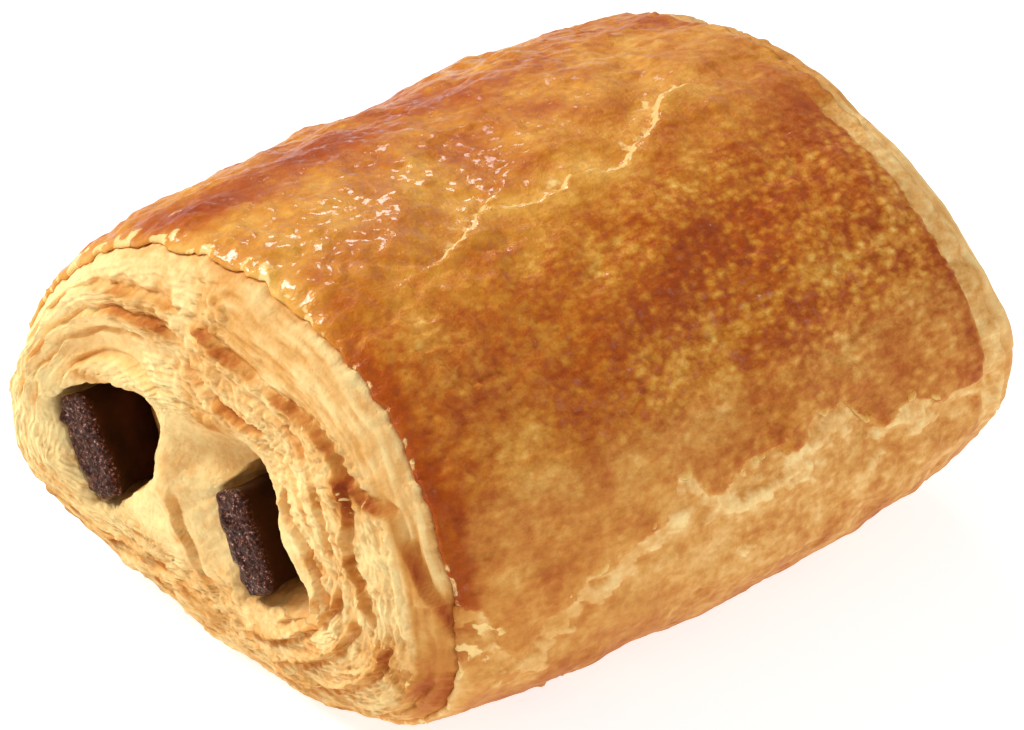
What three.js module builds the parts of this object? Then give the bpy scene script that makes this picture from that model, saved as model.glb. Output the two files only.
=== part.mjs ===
// A chocolate-filled pastry: laminated dough rolled round two dark chocolate sticks and baked.
// Millimetres, +Z up. The roll lies along X with its most visible end at -X, and stands on z = 0.
// The pastry is one solid. Each end is a bulging face of rolled layers with two open mouths, and
// the sticks run from mouth to mouth through snug sleeves. The sticks are solids of their own.
import * as THREE from "three";
import { mergeGeometries, mergeVertices } from "three/addons/utils/BufferGeometryUtils.js";

// Driving dimensions
const CRUST_FRONT = -41; // where the browned crust ends, along X
const CRUST_BACK = 42;
const END_BULGE = { front: 4.2, back: 4.6 }; // how far the layers swell past the crust's edge
const BULGE_RUN = 2.6; // and the distance from the edge over which most of that happens
const FOOT_CUT = 0.7; // depth of the flat foot that the roll rests on
const STICK_LENGTH = 89;
const STICK_SECTION = { long: 12.2, short: 4.8 };
const SLEEVE_GAP = 0.4; // between a stick and the dough round it

// Values at the front edge, the middle and the back edge of the crust
const SECTION = {
  halfWidth: [39.2, 41.4, 41.6],
  shift: [1.6, 0, -0.2],
  height: [54.9, 53.0, 50.0],
  waist: [16.8, 18, 23],
  topPower: [2.12, 2.1, 1.8], // 2 is an ellipse, and more is boxier
  basePower: [2.3, 2.6, 2.1],
};
// The crust turns in at its two edges
const END_ROUNDING = { front: { top: 3, side: 1 }, back: { top: 0.4, side: 0.4 }, power: 9 };
const LOBE_LIFT = { from: 3, to: 20, lift: 3.8 }; // the front end's +Y lobe clears the table
const CREASE = { y: 9, width: 4, lift: 1.2 }; // under the front end, between its two lobes
const FRONT_SLOPE = 1.6; // how far the crust's front edge leans back at the top

// The two mouths in each end face, as tilted ellipses, with the stick's place and lean in each
const MOUTHS = {
  left: {
    front: { y: 20.4, z: 21, long: 10, short: 8.9, tilt: -10 },
    back: { y: 20.6, z: 21, long: 9.6, short: 8.7, tilt: -10 },
    stick: { y: 23.6, z: 19.2, lean: 58, front: -44.8 },
  },
  right: {
    front: { y: -6.4, z: 20.2, long: 9.3, short: 8.5, tilt: 20 },
    back: { y: -6.2, z: 20, long: 9, short: 8.4, tilt: 20 },
    stick: { y: -3.7, z: 18.9, lean: 63, front: -45.2 },
  },
};
const MOUTH = { depth: 8, closing: 1.4 }; // over this depth the mouth narrows to the sleeve

// The coil of layers runs from the crust in to an oval round both mouths
const CORE = { y: 7.1, z: 21.2, ry: 24.6, rz: 11, power: 2.8 };
const BAND_WIDTH = 5; // the outermost layer, smooth and pale
const BAND_FLARE = { front: 0.3, back: 1.5 }; // how far it stands out round the crust's edge
const BAND_LIP = 0.6; // height of its browned inner edge
const LAYERS = 3; // raised layers from the band in to the core
const LAYER_TURN = 2; // how many layers the roll gains in one turn
const GROOVE_DEPTH = 1.1;
const FACE_LUMP = 0.5; // unevenness of the end faces
const LIP = 1.5; // how far the dough turns in at a mouth

// Relief of the crust, which stands out from a flat spine inside the roll
const SPINE = { z: 22, halfWidth: 18 };
const RIDGE = { y: -11.5, from: -28, to: 32, step: 1.3 }; // the ragged split along the top
const RIDGE_TURN = { from: 8, to: 22, by: 7 }; // and its bend towards +Y
const LUMP = 0.55; // soft swellings
const STREAK = 0.4; // long blisters on the +Y shoulder
// The torn lower edge of the washed crust on the -Y side, which drops near the front end
const SKIRT = { z: 25, step: 0.7, wave: 1.5, drop: 7, dropX: -35, dropWidth: 5 };

// Mesh steps round the crust, along it, and inwards over an end face
const STEPS = { ringLeft: 34, ringRight: 38, septum: 10, along: 21, band: 4, coil: 12, core: 4, mouth: 4 };

const smooth = THREE.MathUtils.smoothstep; // (value, low, high)
const mix = THREE.MathUtils.lerp;
const signedPower = (v, p) => Math.sign(v) * Math.abs(v) ** p;

// A value between the front, middle and back ones, at u from -1 to 1.
function along([front, middle, back], u) {
  return mix(middle, u < 0 ? front : back, u * u);
}

// Smooth uneven waves of about one unit, with no visible repeat over the pastry.
function waves(a, b, seed) {
  const bent = a + 1.3 * Math.sin(0.7 * b + seed);
  const crossed = b + 1.1 * Math.sin(0.6 * a - 2 * seed);
  return 0.6 * Math.sin(bent + 2.1 * seed) * Math.cos(0.9 * crossed) + 0.4 * Math.sin(1.7 * crossed - bent);
}

// How far the crust stands out at a place on it.
function crustRelief(x, y, z) {
  const onTop = smooth(z, 30, 42);
  const lumps = LUMP * (waves(x / 8, y / 9 + z / 11, 1.7) + 0.6 * waves(x / 3.5, y / 4 - z / 4, 0.3));
  const bend = RIDGE_TURN.by * smooth(x, RIDGE_TURN.from, RIDGE_TURN.to);
  const ridgeY = RIDGE.y + bend + 1.3 * Math.sin(x / 4 + 1);
  const fromRidge = y - ridgeY;
  const ridgeEnds = smooth(x, RIDGE.from, RIDGE.from + 8) * (1 - smooth(x, RIDGE.to - 8, RIDGE.to));
  const side = 0.5 - smooth(fromRidge, -0.9, 0.9);
  const ridge = RIDGE.step * side * Math.exp(-Math.abs(fromRidge) / 9) * ridgeEnds * onTop;
  const streaks = STREAK * Math.sin(0.9 * y + 1.5 * Math.sin(x / 12)) * smooth(y, 4, 12) * onTop;
  const drop = SKIRT.drop * Math.exp(-(((x - SKIRT.dropX) / SKIRT.dropWidth) ** 2));
  const skirtZ = SKIRT.z - 0.05 * x + SKIRT.wave * Math.sin(x / 3.5 + 4) - drop;
  const fromSkirt = z - skirtZ;
  const fade = Math.exp(-Math.abs(fromSkirt) / 9) * smooth(-y, 20, 30);
  const skirt = SKIRT.step * smooth(fromSkirt, -1, 1) * fade;
  return (lumps + ridge + streaks + skirt) * smooth(z, 1.5, 7);
}

// The crust's outer surface: u runs from -1 at the front edge to 1 at the back edge, and angle goes
// round the section from +Y over the top.
function crustPoint(u, angle) {
  const c = Math.cos(angle);
  const s = Math.sin(angle);
  const turnIn = Math.abs(u) ** END_ROUNDING.power;
  const rounding = u < 0 ? END_ROUNDING.front : END_ROUNDING.back;
  const halfWidth = along(SECTION.halfWidth, u) - rounding.side * turnIn;
  const waist = along(SECTION.waist, u);
  const height = along(SECTION.height, u) - rounding.top * turnIn;
  const power = 2 / along(s > 0 ? SECTION.topPower : SECTION.basePower, u);
  let y = along(SECTION.shift, u) + halfWidth * signedPower(c, power);
  let z = waist + (s > 0 ? height - waist : waist) * signedPower(s, power);
  const nearFront = u < 0 ? (-u) ** 7 : 0;
  const lobe = LOBE_LIFT.lift * smooth(y, LOBE_LIFT.from, LOBE_LIFT.to);
  const crease = CREASE.lift * Math.exp(-(((y - CREASE.y) / CREASE.width) ** 2));
  z += nearFront * (lobe + crease) * (1 - smooth(z, 0, 24));
  z = Math.max(z - FOOT_CUT, 0);
  let x = u < 0 ? -u * CRUST_FRONT : u * CRUST_BACK;
  x += nearFront * FRONT_SLOPE * smooth(z, 25, 48);
  const spine = THREE.MathUtils.clamp(y, -SPINE.halfWidth, SPINE.halfWidth);
  const out = new THREE.Vector2(y - spine, z - SPINE.z).normalize();
  const relief = crustRelief(x, y, z);
  return new THREE.Vector3(x, y + relief * out.x, Math.max(z + relief * out.y, 0));
}

// The angles of the points round the crust: first the +Y part, from the septum's foot to its head,
// and then the -Y part back to the foot.
const RING = STEPS.ringLeft + STEPS.ringRight;
const HEAD_ANGLE = THREE.MathUtils.degToRad(79);
const FOOT_ANGLE = THREE.MathUtils.degToRad(-78);
function ringAngle(i) {
  const k = i % RING;
  if (k <= STEPS.ringLeft) return mix(FOOT_ANGLE, HEAD_ANGLE, k / STEPS.ringLeft);
  return mix(HEAD_ANGLE, FOOT_ANGLE + 2 * Math.PI, (k - STEPS.ringLeft) / STEPS.ringRight);
}

const FACE_CENTRE_Z = 24; // the end faces swell round this height

// Everything that describes one end of the roll.
function makeEnd(name) {
  const out = name === "front" ? -1 : 1;
  const rim = Array.from({ length: RING }, (_, i) => crustPoint(out, ringAngle(i)));
  const centre = new THREE.Vector2(0, FACE_CENTRE_Z);
  const polar = rim
    .map((p) => ({
      angle: Math.atan2(p.z - centre.y, p.y - centre.x),
      radius: Math.hypot(p.z - centre.y, p.y - centre.x),
      x: p.x,
    }))
    .sort((a, b) => a.angle - b.angle);
  return { name, out, rim, centre, polar };
}

// The crust edge's radius and x in one direction from the middle of the end.
function edgeAt(end, angle) {
  const { polar } = end;
  let next = polar.findIndex((p) => p.angle > angle);
  if (next < 0) next = 0;
  const a = polar[(next + polar.length - 1) % polar.length];
  const b = polar[next];
  const span = (b.angle - a.angle + 2 * Math.PI) % (2 * Math.PI);
  const part = ((angle - a.angle + 2 * Math.PI) % (2 * Math.PI)) / span;
  return { radius: mix(a.radius, b.radius, part), x: mix(a.x, b.x, part) };
}

// A point of the end face over (y, z), swollen towards the middle and raised by a relief.
function facePoint(end, y, z, relief) {
  const dy = y - end.centre.x;
  const dz = z - end.centre.y;
  const edge = edgeAt(end, Math.atan2(dz, dy));
  const gap = Math.max(0, edge.radius - Math.hypot(dy, dz));
  const swell = END_BULGE[end.name] * (1 - Math.exp(-gap / BULGE_RUN));
  const inside = smooth(gap, 0, 2);
  const lumps = FACE_LUMP * waves(y / 4, z / 4.5, 2.2) * inside;
  return new THREE.Vector3(edge.x + end.out * (swell + lumps + relief), y, Math.max(0, z));
}

// The point of the core's outline that faces one point of the crust's edge.
function corePoint(end, i) {
  const rim = end.rim[i % RING];
  const angle = Math.atan2((rim.z - CORE.z) / CORE.rz, (rim.y - CORE.y) / CORE.ry);
  const y = CORE.y + CORE.ry * signedPower(Math.cos(angle), 2 / CORE.power);
  const z = CORE.z + CORE.rz * signedPower(Math.sin(angle), 2 / CORE.power);
  return facePoint(end, y, z, 0);
}

// A point of the coil: rows count from the crust's edge through the band and in to the core.
function coilPoint(end, i, row) {
  const rim = end.rim[i % RING];
  const rows = STEPS.band + STEPS.coil;
  if (row === 0) return rim;
  if (row === rows) return corePoint(end, i);
  const core = corePoint(end, i);
  const reach = Math.hypot(core.y - rim.y, core.z - rim.z);
  const band = Math.min(BAND_WIDTH, 0.4 * reach);
  const inBand = row <= STEPS.band;
  const part = inBand ? row / STEPS.band : (row - STEPS.band) / STEPS.coil;
  const gap = inBand ? band * part : mix(band, reach, part);
  const turn = (i % RING) / RING;
  const phase = LAYERS * part + LAYER_TURN * turn;
  const scallop = GROOVE_DEPTH * (0.5 - 0.5 * Math.cos(2 * Math.PI * phase)) * (1 - smooth(part, 0.8, 1));
  const relief = inBand ? BAND_LIP * part ** 3 : scallop - GROOVE_DEPTH / 2;
  const flare = inBand ? BAND_FLARE[end.name] * Math.sin(Math.PI * part) : 0;
  const y = mix(rim.y, core.y, gap / reach);
  const z = mix(rim.z, core.z, gap / reach);
  const p = facePoint(end, y, z, relief);
  p.y += (flare * (rim.y - core.y)) / reach;
  p.z = Math.max(0, p.z + (flare * (rim.z - core.z)) / reach);
  return p;
}

// The closed loop round one half of the core: its part of the outline, then the septum line.
function halfLoop(end, half, k) {
  const arc = half === "left" ? STEPS.ringLeft : STEPS.ringRight;
  const first = half === "left" ? 0 : STEPS.ringLeft;
  if (k <= arc) return corePoint(end, first + k);
  // counted from the septum's head in both halves, so that they share its points exactly
  const step = half === "left" ? k - arc : STEPS.septum - (k - arc);
  const p = corePoint(end, STEPS.ringLeft).lerp(corePoint(end, 0), step / STEPS.septum);
  return facePoint(end, p.y, p.z, 0);
}

const loopSteps = (half) => (half === "left" ? STEPS.ringLeft : STEPS.ringRight) + STEPS.septum;

// The point of a mouth's rim that faces one point of the half's loop.
function mouthRim(end, half, k) {
  const m = MOUTHS[half][end.name];
  const p = halfLoop(end, half, k % loopSteps(half));
  const tilt = THREE.MathUtils.degToRad(m.tilt);
  const middle = new THREE.Vector2(m.y, m.z);
  const towards = new THREE.Vector2(p.y, p.z).rotateAround(middle, -tilt).sub(middle);
  const angle = Math.atan2(towards.y / m.short, towards.x / m.long);
  const rim = new THREE.Vector2(m.y + m.long * Math.cos(angle), m.z + m.short * Math.sin(angle));
  rim.rotateAround(middle, tilt);
  return { angle: angle + tilt, point: facePoint(end, rim.x, rim.y, -LIP) };
}

// A sheet of columns by rows faces whose corners are placed by a function, seen from the side
// where columns run left to right and rows run down, or from the other side when flipped.
function sheet(columns, rows, place, flip) {
  const plane = new THREE.PlaneGeometry(1, 1, columns, rows);
  const position = plane.getAttribute("position");
  for (let j = 0; j <= rows; j++) {
    for (let i = 0; i <= columns; i++) {
      const p = place(i, j);
      position.setXYZ(j * (columns + 1) + i, p.x, p.y, p.z);
    }
  }
  if (flip) {
    const index = plane.getIndex();
    for (let f = 0; f < index.count; f += 3) {
      const kept = index.getX(f);
      index.setX(f, index.getX(f + 1));
      index.setX(f + 1, kept);
    }
  }
  plane.deleteAttribute("normal");
  plane.deleteAttribute("uv");
  return plane;
}

// The crust from its front edge to its back edge, with closer steps near the edges.
function crustSheet(front, back) {
  return sheet(
    RING,
    STEPS.along,
    (i, j) => {
      if (j === 0) return front.rim[i % RING];
      if (j === STEPS.along) return back.rim[i % RING];
      const even = -1 + (2 * j) / STEPS.along;
      const u = mix(even, Math.sin((even * Math.PI) / 2), 0.6);
      return crustPoint(u, ringAngle(i));
    },
    true,
  );
}

// The coiled layers of an end face, from the crust's edge in to the core.
function coilSheet(end) {
  return sheet(RING, STEPS.band + STEPS.coil, (i, j) => coilPoint(end, i, j), end.out > 0);
}

// Half of the core, from the loop round it in to the mouth's rim.
function coreSheet(end, half) {
  const count = loopSteps(half);
  return sheet(
    count,
    STEPS.core,
    (i, j) => {
      const k = i % count;
      const outer = halfLoop(end, half, k);
      const inner = mouthRim(end, half, k).point;
      if (j === 0) return outer;
      if (j === STEPS.core) return inner;
      const part = j / STEPS.core;
      return facePoint(end, mix(outer.y, inner.y, part), mix(outer.z, inner.z, part), -LIP * part ** 3);
    },
    end.out > 0,
  );
}

// A stick's outline, grown by a gap, in the direction of one angle, as an offset from its middle.
function stickOutline(stick, angle, grow) {
  const lean = THREE.MathUtils.degToRad(stick.lean);
  const a = STICK_SECTION.long / 2 + grow;
  const b = STICK_SECTION.short / 2 + grow;
  const power = 2 / 5;
  const c = signedPower(Math.cos(angle - lean), power) * a;
  const s = signedPower(Math.sin(angle - lean), power) * b;
  return { y: c * Math.cos(lean) - s * Math.sin(lean), z: c * Math.sin(lean) + s * Math.cos(lean) };
}

// One mouth and its sleeve: from the front rim in to the sleeve, along it and out to the back rim.
function tunnelSheet(front, back, half) {
  const count = loopSteps(half);
  const { stick } = MOUTHS[half];
  const rows = 2 * STEPS.mouth + 1;
  return sheet(
    count,
    rows,
    (i, j) => {
      const k = i % count;
      const end = j <= STEPS.mouth ? front : back;
      const step = j <= STEPS.mouth ? j : rows - j;
      const rim = mouthRim(end, half, k);
      const edge = rim.point;
      if (step === 0) return edge;
      const part = step / STEPS.mouth;
      const inner = stickOutline(stick, rim.angle, SLEEVE_GAP);
      const narrow = part ** MOUTH.closing;
      return new THREE.Vector3(
        edge.x - end.out * MOUTH.depth * part,
        mix(edge.y, stick.y + inner.y, narrow),
        mix(edge.z, stick.z + inner.z, narrow),
      );
    },
    false,
  );
}

// One closed surface from sheets that share their edges, without faces that closed to a line.
function closedSurface(sheets) {
  const joined = mergeVertices(mergeGeometries(sheets), 1e-4);
  const index = joined.getIndex();
  const kept = [];
  for (let f = 0; f < index.count; f += 3) {
    const [a, b, c] = [index.getX(f), index.getX(f + 1), index.getX(f + 2)];
    if (a !== b && b !== c && c !== a) kept.push(a, b, c);
  }
  joined.setIndex(kept);
  joined.computeVertexNormals();
  return joined;
}

function pastry() {
  const front = makeEnd("front");
  const back = makeEnd("back");
  const sheets = [crustSheet(front, back), coilSheet(front), coilSheet(back)];
  for (const half of ["left", "right"]) {
    sheets.push(coreSheet(front, half), coreSheet(back, half), tunnelSheet(front, back, half));
  }
  const material = new THREE.MeshStandardMaterial({ color: 0xc4793a, roughness: 0.55, metalness: 0 });
  const mesh = new THREE.Mesh(closedSurface(sheets), material);
  mesh.name = "pastry";
  return mesh;
}

// A chocolate stick: a bar with softened edges, slightly uneven, with gently domed ends.
function chocolateStick(half) {
  const { stick } = MOUTHS[half];
  const around = 20;
  const bevel = 0.7;
  const dome = { depth: 0.25, flat: 1.5 };
  const stations = [
    { x: 0, grow: -dome.flat },
    { x: dome.depth, grow: -bevel },
    { x: bevel, grow: -0.15 },
    ...Array.from({ length: 6 }, (_, i) => ({ x: mix(3, STICK_LENGTH - 3, i / 5), grow: 0 })),
    { x: STICK_LENGTH - bevel, grow: -0.15 },
    { x: STICK_LENGTH - dome.depth, grow: -bevel },
    { x: STICK_LENGTH, grow: -dome.flat },
  ];
  const last = stations.length + 1;
  const bar = sheet(
    around,
    last,
    (i, j) => {
      const at = stations[Math.min(Math.max(j - 1, 0), stations.length - 1)];
      const x = stick.front + at.x;
      if (j === 0 || j === last) return new THREE.Vector3(x, stick.y, stick.z);
      const k = i % around;
      const angle = ((k + 0.5) * 2 * Math.PI) / around;
      const uneven = 0.12 * Math.min(0, waves(x / 6, 3 * Math.cos(angle), 0.9));
      const p = stickOutline(stick, angle, at.grow + uneven);
      return new THREE.Vector3(x, stick.y + p.y, stick.z + p.z);
    },
    true,
  );
  const material = new THREE.MeshStandardMaterial({ color: 0x3a1c10, roughness: 0.5, metalness: 0 });
  const mesh = new THREE.Mesh(closedSurface([bar]), material);
  mesh.name = half === "left" ? "chocolate_stick_left" : "chocolate_stick_right";
  return mesh;
}

const object = new THREE.Group();
object.name = "chocolate_pastry";
object.add(pastry(), chocolateStick("left"), chocolateStick("right"));
export default object;
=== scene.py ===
"""A chocolate-filled pastry: laminated dough rolled round two dark chocolate sticks, and baked.

The roll lies along X with its most visible end at -X. Shapes are worked out in millimetres in the
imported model's frame, and become metres when a vertex is placed.
"""

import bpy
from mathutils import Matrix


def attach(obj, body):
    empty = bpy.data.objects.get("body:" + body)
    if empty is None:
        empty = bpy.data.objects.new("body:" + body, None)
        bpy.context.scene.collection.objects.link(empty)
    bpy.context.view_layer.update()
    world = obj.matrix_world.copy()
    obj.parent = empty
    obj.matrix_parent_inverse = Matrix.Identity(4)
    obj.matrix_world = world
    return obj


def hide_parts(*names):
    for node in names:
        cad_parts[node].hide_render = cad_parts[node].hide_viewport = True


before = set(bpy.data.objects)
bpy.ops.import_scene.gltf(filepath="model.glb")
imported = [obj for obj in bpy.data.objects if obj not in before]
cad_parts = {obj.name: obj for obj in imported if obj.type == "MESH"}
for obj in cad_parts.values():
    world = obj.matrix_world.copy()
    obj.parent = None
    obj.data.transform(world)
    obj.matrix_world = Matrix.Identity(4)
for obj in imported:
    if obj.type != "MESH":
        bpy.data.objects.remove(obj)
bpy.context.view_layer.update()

import logging
import math
from bisect import bisect_right
from dataclasses import dataclass, field
from enum import Enum
from functools import cached_property, reduce
from typing import Callable, ClassVar, Sequence

import bmesh
import bpy
from mathutils import Vector, noise

log = logging.getLogger("pastry")
MM = 0.001

Piece = bpy.types.Object
Material = bpy.types.Material
Pair = tuple[float, float]
Triple = tuple[float, float, float]
Colour = tuple[float, float, float, float]
Stops = Sequence[tuple[float, Triple]]
Socket = bpy.types.NodeSocket
Feed = Socket | float | Colour
Place = Callable[[int, int], "Spot"]


class EndName(Enum):
    """The two ends of the roll, with the way that each faces along X."""

    FRONT = -1
    BACK = 1


class Half(Enum):
    """The two lobes of the roll, each with its own chocolate stick."""

    LEFT = "left"
    RIGHT = "right"


@dataclass
class Spot:
    """One vertex to be: its place in millimetres, and what the finish needs to know there.

    Args:
        at: place in millimetres.
        toast: how brown it is, from 0 for pale dough to 1 for the darkest crust: mostly the oven's browning,
            with painted shade in some creases, hollows and mouths and low on the side, and a painted
            highlight on the front face's left lobe.
        wash: how much glossy egg wash is on it.
        bare: over a half where the washed outermost layer is gone.
        lip: over a half on the thin pale edge of a broken layer.
        lamina: running number of the fine layer that it lies in.
        lined: how clearly the fine layers show, from 0 to 1.
        mottle: how strongly the browning breaks up into fine spots.
    """

    at: Vector
    toast: float = 0.4
    wash: float = 0.0
    bare: float = 0.0
    lip: float = 0.0
    lamina: float = 0.0
    lined: float = 0.0
    mottle: float = 0.4


def mix(a: float, b: float, t: float) -> float:
    """Value between a and b at t."""
    return a + (b - a) * t


def smooth(value: float, low: float, high: float) -> float:
    """Smooth step of a value from 0 at low to 1 at high."""
    t = min(1.0, max(0.0, (value - low) / (high - low)))
    return t * t * (3 - 2 * t)


def bell(value: float, middle: float, width: float) -> float:
    """Bell curve of height 1 round the middle."""
    return math.exp(-(((value - middle) / width) ** 2))


def signed_power(value: float, power: float) -> float:
    """Power of a value's size, with its sign kept."""
    return math.copysign(abs(value) ** power, value)


def grain(x: float, y: float, z: float, size: float, seed: float = 0.0) -> float:
    """Perlin noise from about -1 to 1, with features of one size in millimetres."""
    return noise.noise(Vector((x / size + seed, y / size - 1.7 * seed, z / size + 2.3 * seed)))


def rough(x: float, y: float, z: float, size: float, octaves: int = 3, seed: float = 0.0) -> float:
    """Several octaves of Perlin noise, the coarsest of one size in millimetres."""
    return noise.fractal(Vector((x / size + seed, y / size - seed, z / size)), 0.9, 2.1, octaves)


def blisters(x: float, y: float, z: float, size: float) -> float:
    """Rounded domes from 0 in the creases between them to 1 on top."""
    near = noise.voronoi(Vector((x / size, y / size, z / size)))[0]
    return smooth(near[1] - near[0], 0.0, 0.55)


def waves(a: float, b: float, seed: float) -> float:
    """Smooth uneven waves of about one unit, the same as the solid's.

    Args:
        a: place along the first direction, in units.
        b: place along the second direction, in units.
        seed: shifts the waves.

    Returns:
        A value from about -1 to 1.
    """
    bent = a + 1.3 * math.sin(0.7 * b + seed)
    crossed = b + 1.1 * math.sin(0.6 * a - 2 * seed)
    first = 0.6 * math.sin(bent + 2.1 * seed) * math.cos(0.9 * crossed)
    return first + 0.4 * math.sin(1.7 * crossed - bent)


def many(kind: type, *rows: tuple[object, ...]) -> tuple:
    """One item of a kind for each row of its values."""
    return tuple(kind(*row) for row in rows)


@dataclass(frozen=True)
class Profile:
    """A value that runs straight from point to point of a list."""

    points: tuple[Pair, ...]

    def at(self, where: float) -> float:
        """The value at a place, held at both ends.

        Args:
            where: the place.

        Returns:
            The value there.
        """
        points = self.points
        if where <= points[0][0]:
            return points[0][1]
        if where >= points[-1][0]:
            return points[-1][1]
        k = bisect_right(points, (where, math.inf))
        (a, low), (b, high) = points[k - 1], points[k]
        return mix(low, high, (where - a) / (b - a))


def profile(*points: Pair) -> Profile:
    """A profile through points."""
    return Profile(points)


@dataclass(frozen=True)
class Patch:
    """A patch that is browner or paler than the rest: on the crust it is the oven's browning, and on an end
    face some patches are painted shade and some a painted highlight.

    Args:
        x: middle of the patch along the roll.
        across: middle of the patch round the roll, in degrees from +Y over the top.
        reach_x: half size along the roll.
        reach_across: half size round the roll, in degrees.
        toast: how much browner, or paler if negative.
    """

    x: float
    across: float
    reach_x: float
    reach_across: float
    toast: float

    def at(self, x: float, across: float) -> float:
        """How much browner the patch makes a place on the crust."""
        away = ((x - self.x) / self.reach_x) ** 2 + ((across - self.across) / self.reach_across) ** 2
        return self.toast * math.exp(-away) if away < 6 else 0.0


@dataclass(frozen=True)
class Fold:
    """The edge of a layer that shows on an end face, as a line through (y, z) points.

    Args:
        points: the line, with the side towards the mouths on its left.
        step: how far the layer stands out along the line.
        reach: how far in from the line it sinks back to the face.
        groove: depth of the crease just outside the line.
        toast: how much browner its edge is.
        outside: how far outside the line it still has an effect, for every fold.
    """

    points: tuple[Pair, ...]
    step: float
    reach: float = 3.0
    groove: float = 0.3
    toast: float = 0.15
    outside: ClassVar[float] = 2.5

    @cached_property
    def box(self) -> tuple[float, float, float, float]:
        """The least and greatest y and z that the fold can change.

        Returns:
            Least y, greatest y, least z and greatest z.
        """
        ys, zs = [p[0] for p in self.points], [p[1] for p in self.points]
        margin = 3 * self.reach
        return min(ys) - margin, max(ys) + margin, min(zs) - margin, max(zs) + margin

    def off(self, y: float, z: float) -> Pair:
        """How far a place of the face is off the line.

        Args:
            y: the place.
            z: the place.

        Returns:
            The distance, positive on the line's left, and the share of the line passed.
        """
        best, side, share = math.inf, 1.0, 0.0
        last = len(self.points) - 1
        for k in range(last):
            (ay, az), (by, bz) = self.points[k], self.points[k + 1]
            dy, dz = by - ay, bz - az
            t = ((y - ay) * dy + (z - az) * dz) / (dy * dy + dz * dz)
            t = min(1.0, max(0.0, t))
            ry, rz = y - ay - t * dy, z - az - t * dz
            square = ry * ry + rz * rz
            if square < best:
                best, side, share = square, dy * rz - dz * ry, (k + t) / last
        return math.copysign(math.sqrt(best), side), share

    def relief(self, y: float, z: float, ragged: float) -> Pair:
        """What the fold does to a place of the face.

        Args:
            y: the place.
            z: the place.
            ragged: how far its edge strays there.

        Returns:
            How far it raises the place, and how much browner it makes it.
        """
        low_y, high_y, low_z, high_z = self.box
        if not (low_y < y < high_y and low_z < z < high_z):
            return 0.0, 0.0
        distance, share = self.off(y, z)
        if not -self.outside < distance < 4 * self.reach:
            return 0.0, 0.0
        distance += ragged
        fade = smooth(share, 0.0, 0.12) * (1 - smooth(share, 0.88, 1.0))
        rise = self.step * smooth(distance, -0.2, 0.25) * math.exp(-max(0.0, distance) / self.reach)
        crease = self.groove * bell(distance, -0.35, 0.4)
        brown = self.toast * (bell(distance, 0.1, 0.3) + 0.22 * bell(distance, 0.6, 0.9))
        # painted shade: the crease just outside every fold's line is browned
        brown += 0.16 * bell(distance, -0.4, 0.35)
        return (rise - crease) * fade, brown * fade


@dataclass(frozen=True)
class Mound:
    """A soft swelling of an end face, or a hollow if its rise is negative.

    Args:
        y: its middle.
        z: its middle.
        long: half length.
        short: half width.
        turn: direction of its length in degrees, from +Y towards +Z.
        rise: its height.
    """

    y: float
    z: float
    long: float
    short: float
    turn: float
    rise: float

    def at(self, y: float, z: float) -> float:
        """How far it raises a place of the face.

        Args:
            y: the place.
            z: the place.

        Returns:
            The rise in millimetres.
        """
        dy, dz = y - self.y, z - self.z
        c, s = math.cos(math.radians(self.turn)), math.sin(math.radians(self.turn))
        away = ((dy * c + dz * s) / self.long) ** 2 + ((dz * c - dy * s) / self.short) ** 2
        return self.rise * math.exp(-away) if away < 6 else 0.0


@dataclass(frozen=True)
class Mouth:
    """One open mouth in an end face: its middle and its outline, as (degrees, radius) points."""

    y: float
    z: float
    outline: Profile

    def rim(self, angle: float) -> float:
        """Radius of the outline in one direction, in radians."""
        return self.outline.at(math.degrees(angle) % 360)


@dataclass(frozen=True)
class StickPlace:
    """Where a chocolate stick lies: its middle, its lean in degrees and its front end's x."""

    y: float
    z: float
    lean: float
    front: float


@dataclass(frozen=True)
class StickForm:
    """A bakers' chocolate stick: a flat bar with softened edges."""

    length: float = 89.0
    long: float = 12.2
    short: float = 4.8
    power: float = 4.5

    def outline(self, place: StickPlace, angle: float, grow: float) -> Pair:
        """A point of the bar's outline.

        Args:
            place: where the bar lies.
            angle: direction from its middle, in radians.
            grow: how far outside the bar the outline runs.

        Returns:
            The point's offset (y, z) from the bar's middle.
        """
        lean = math.radians(place.lean)
        a = self.long / 2 + grow
        b = self.short / 2 + grow
        c = signed_power(math.cos(angle - lean), 2 / self.power) * a
        s = signed_power(math.sin(angle - lean), 2 / self.power) * b
        return c * math.cos(lean) - s * math.sin(lean), c * math.sin(lean) + s * math.cos(lean)


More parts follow.
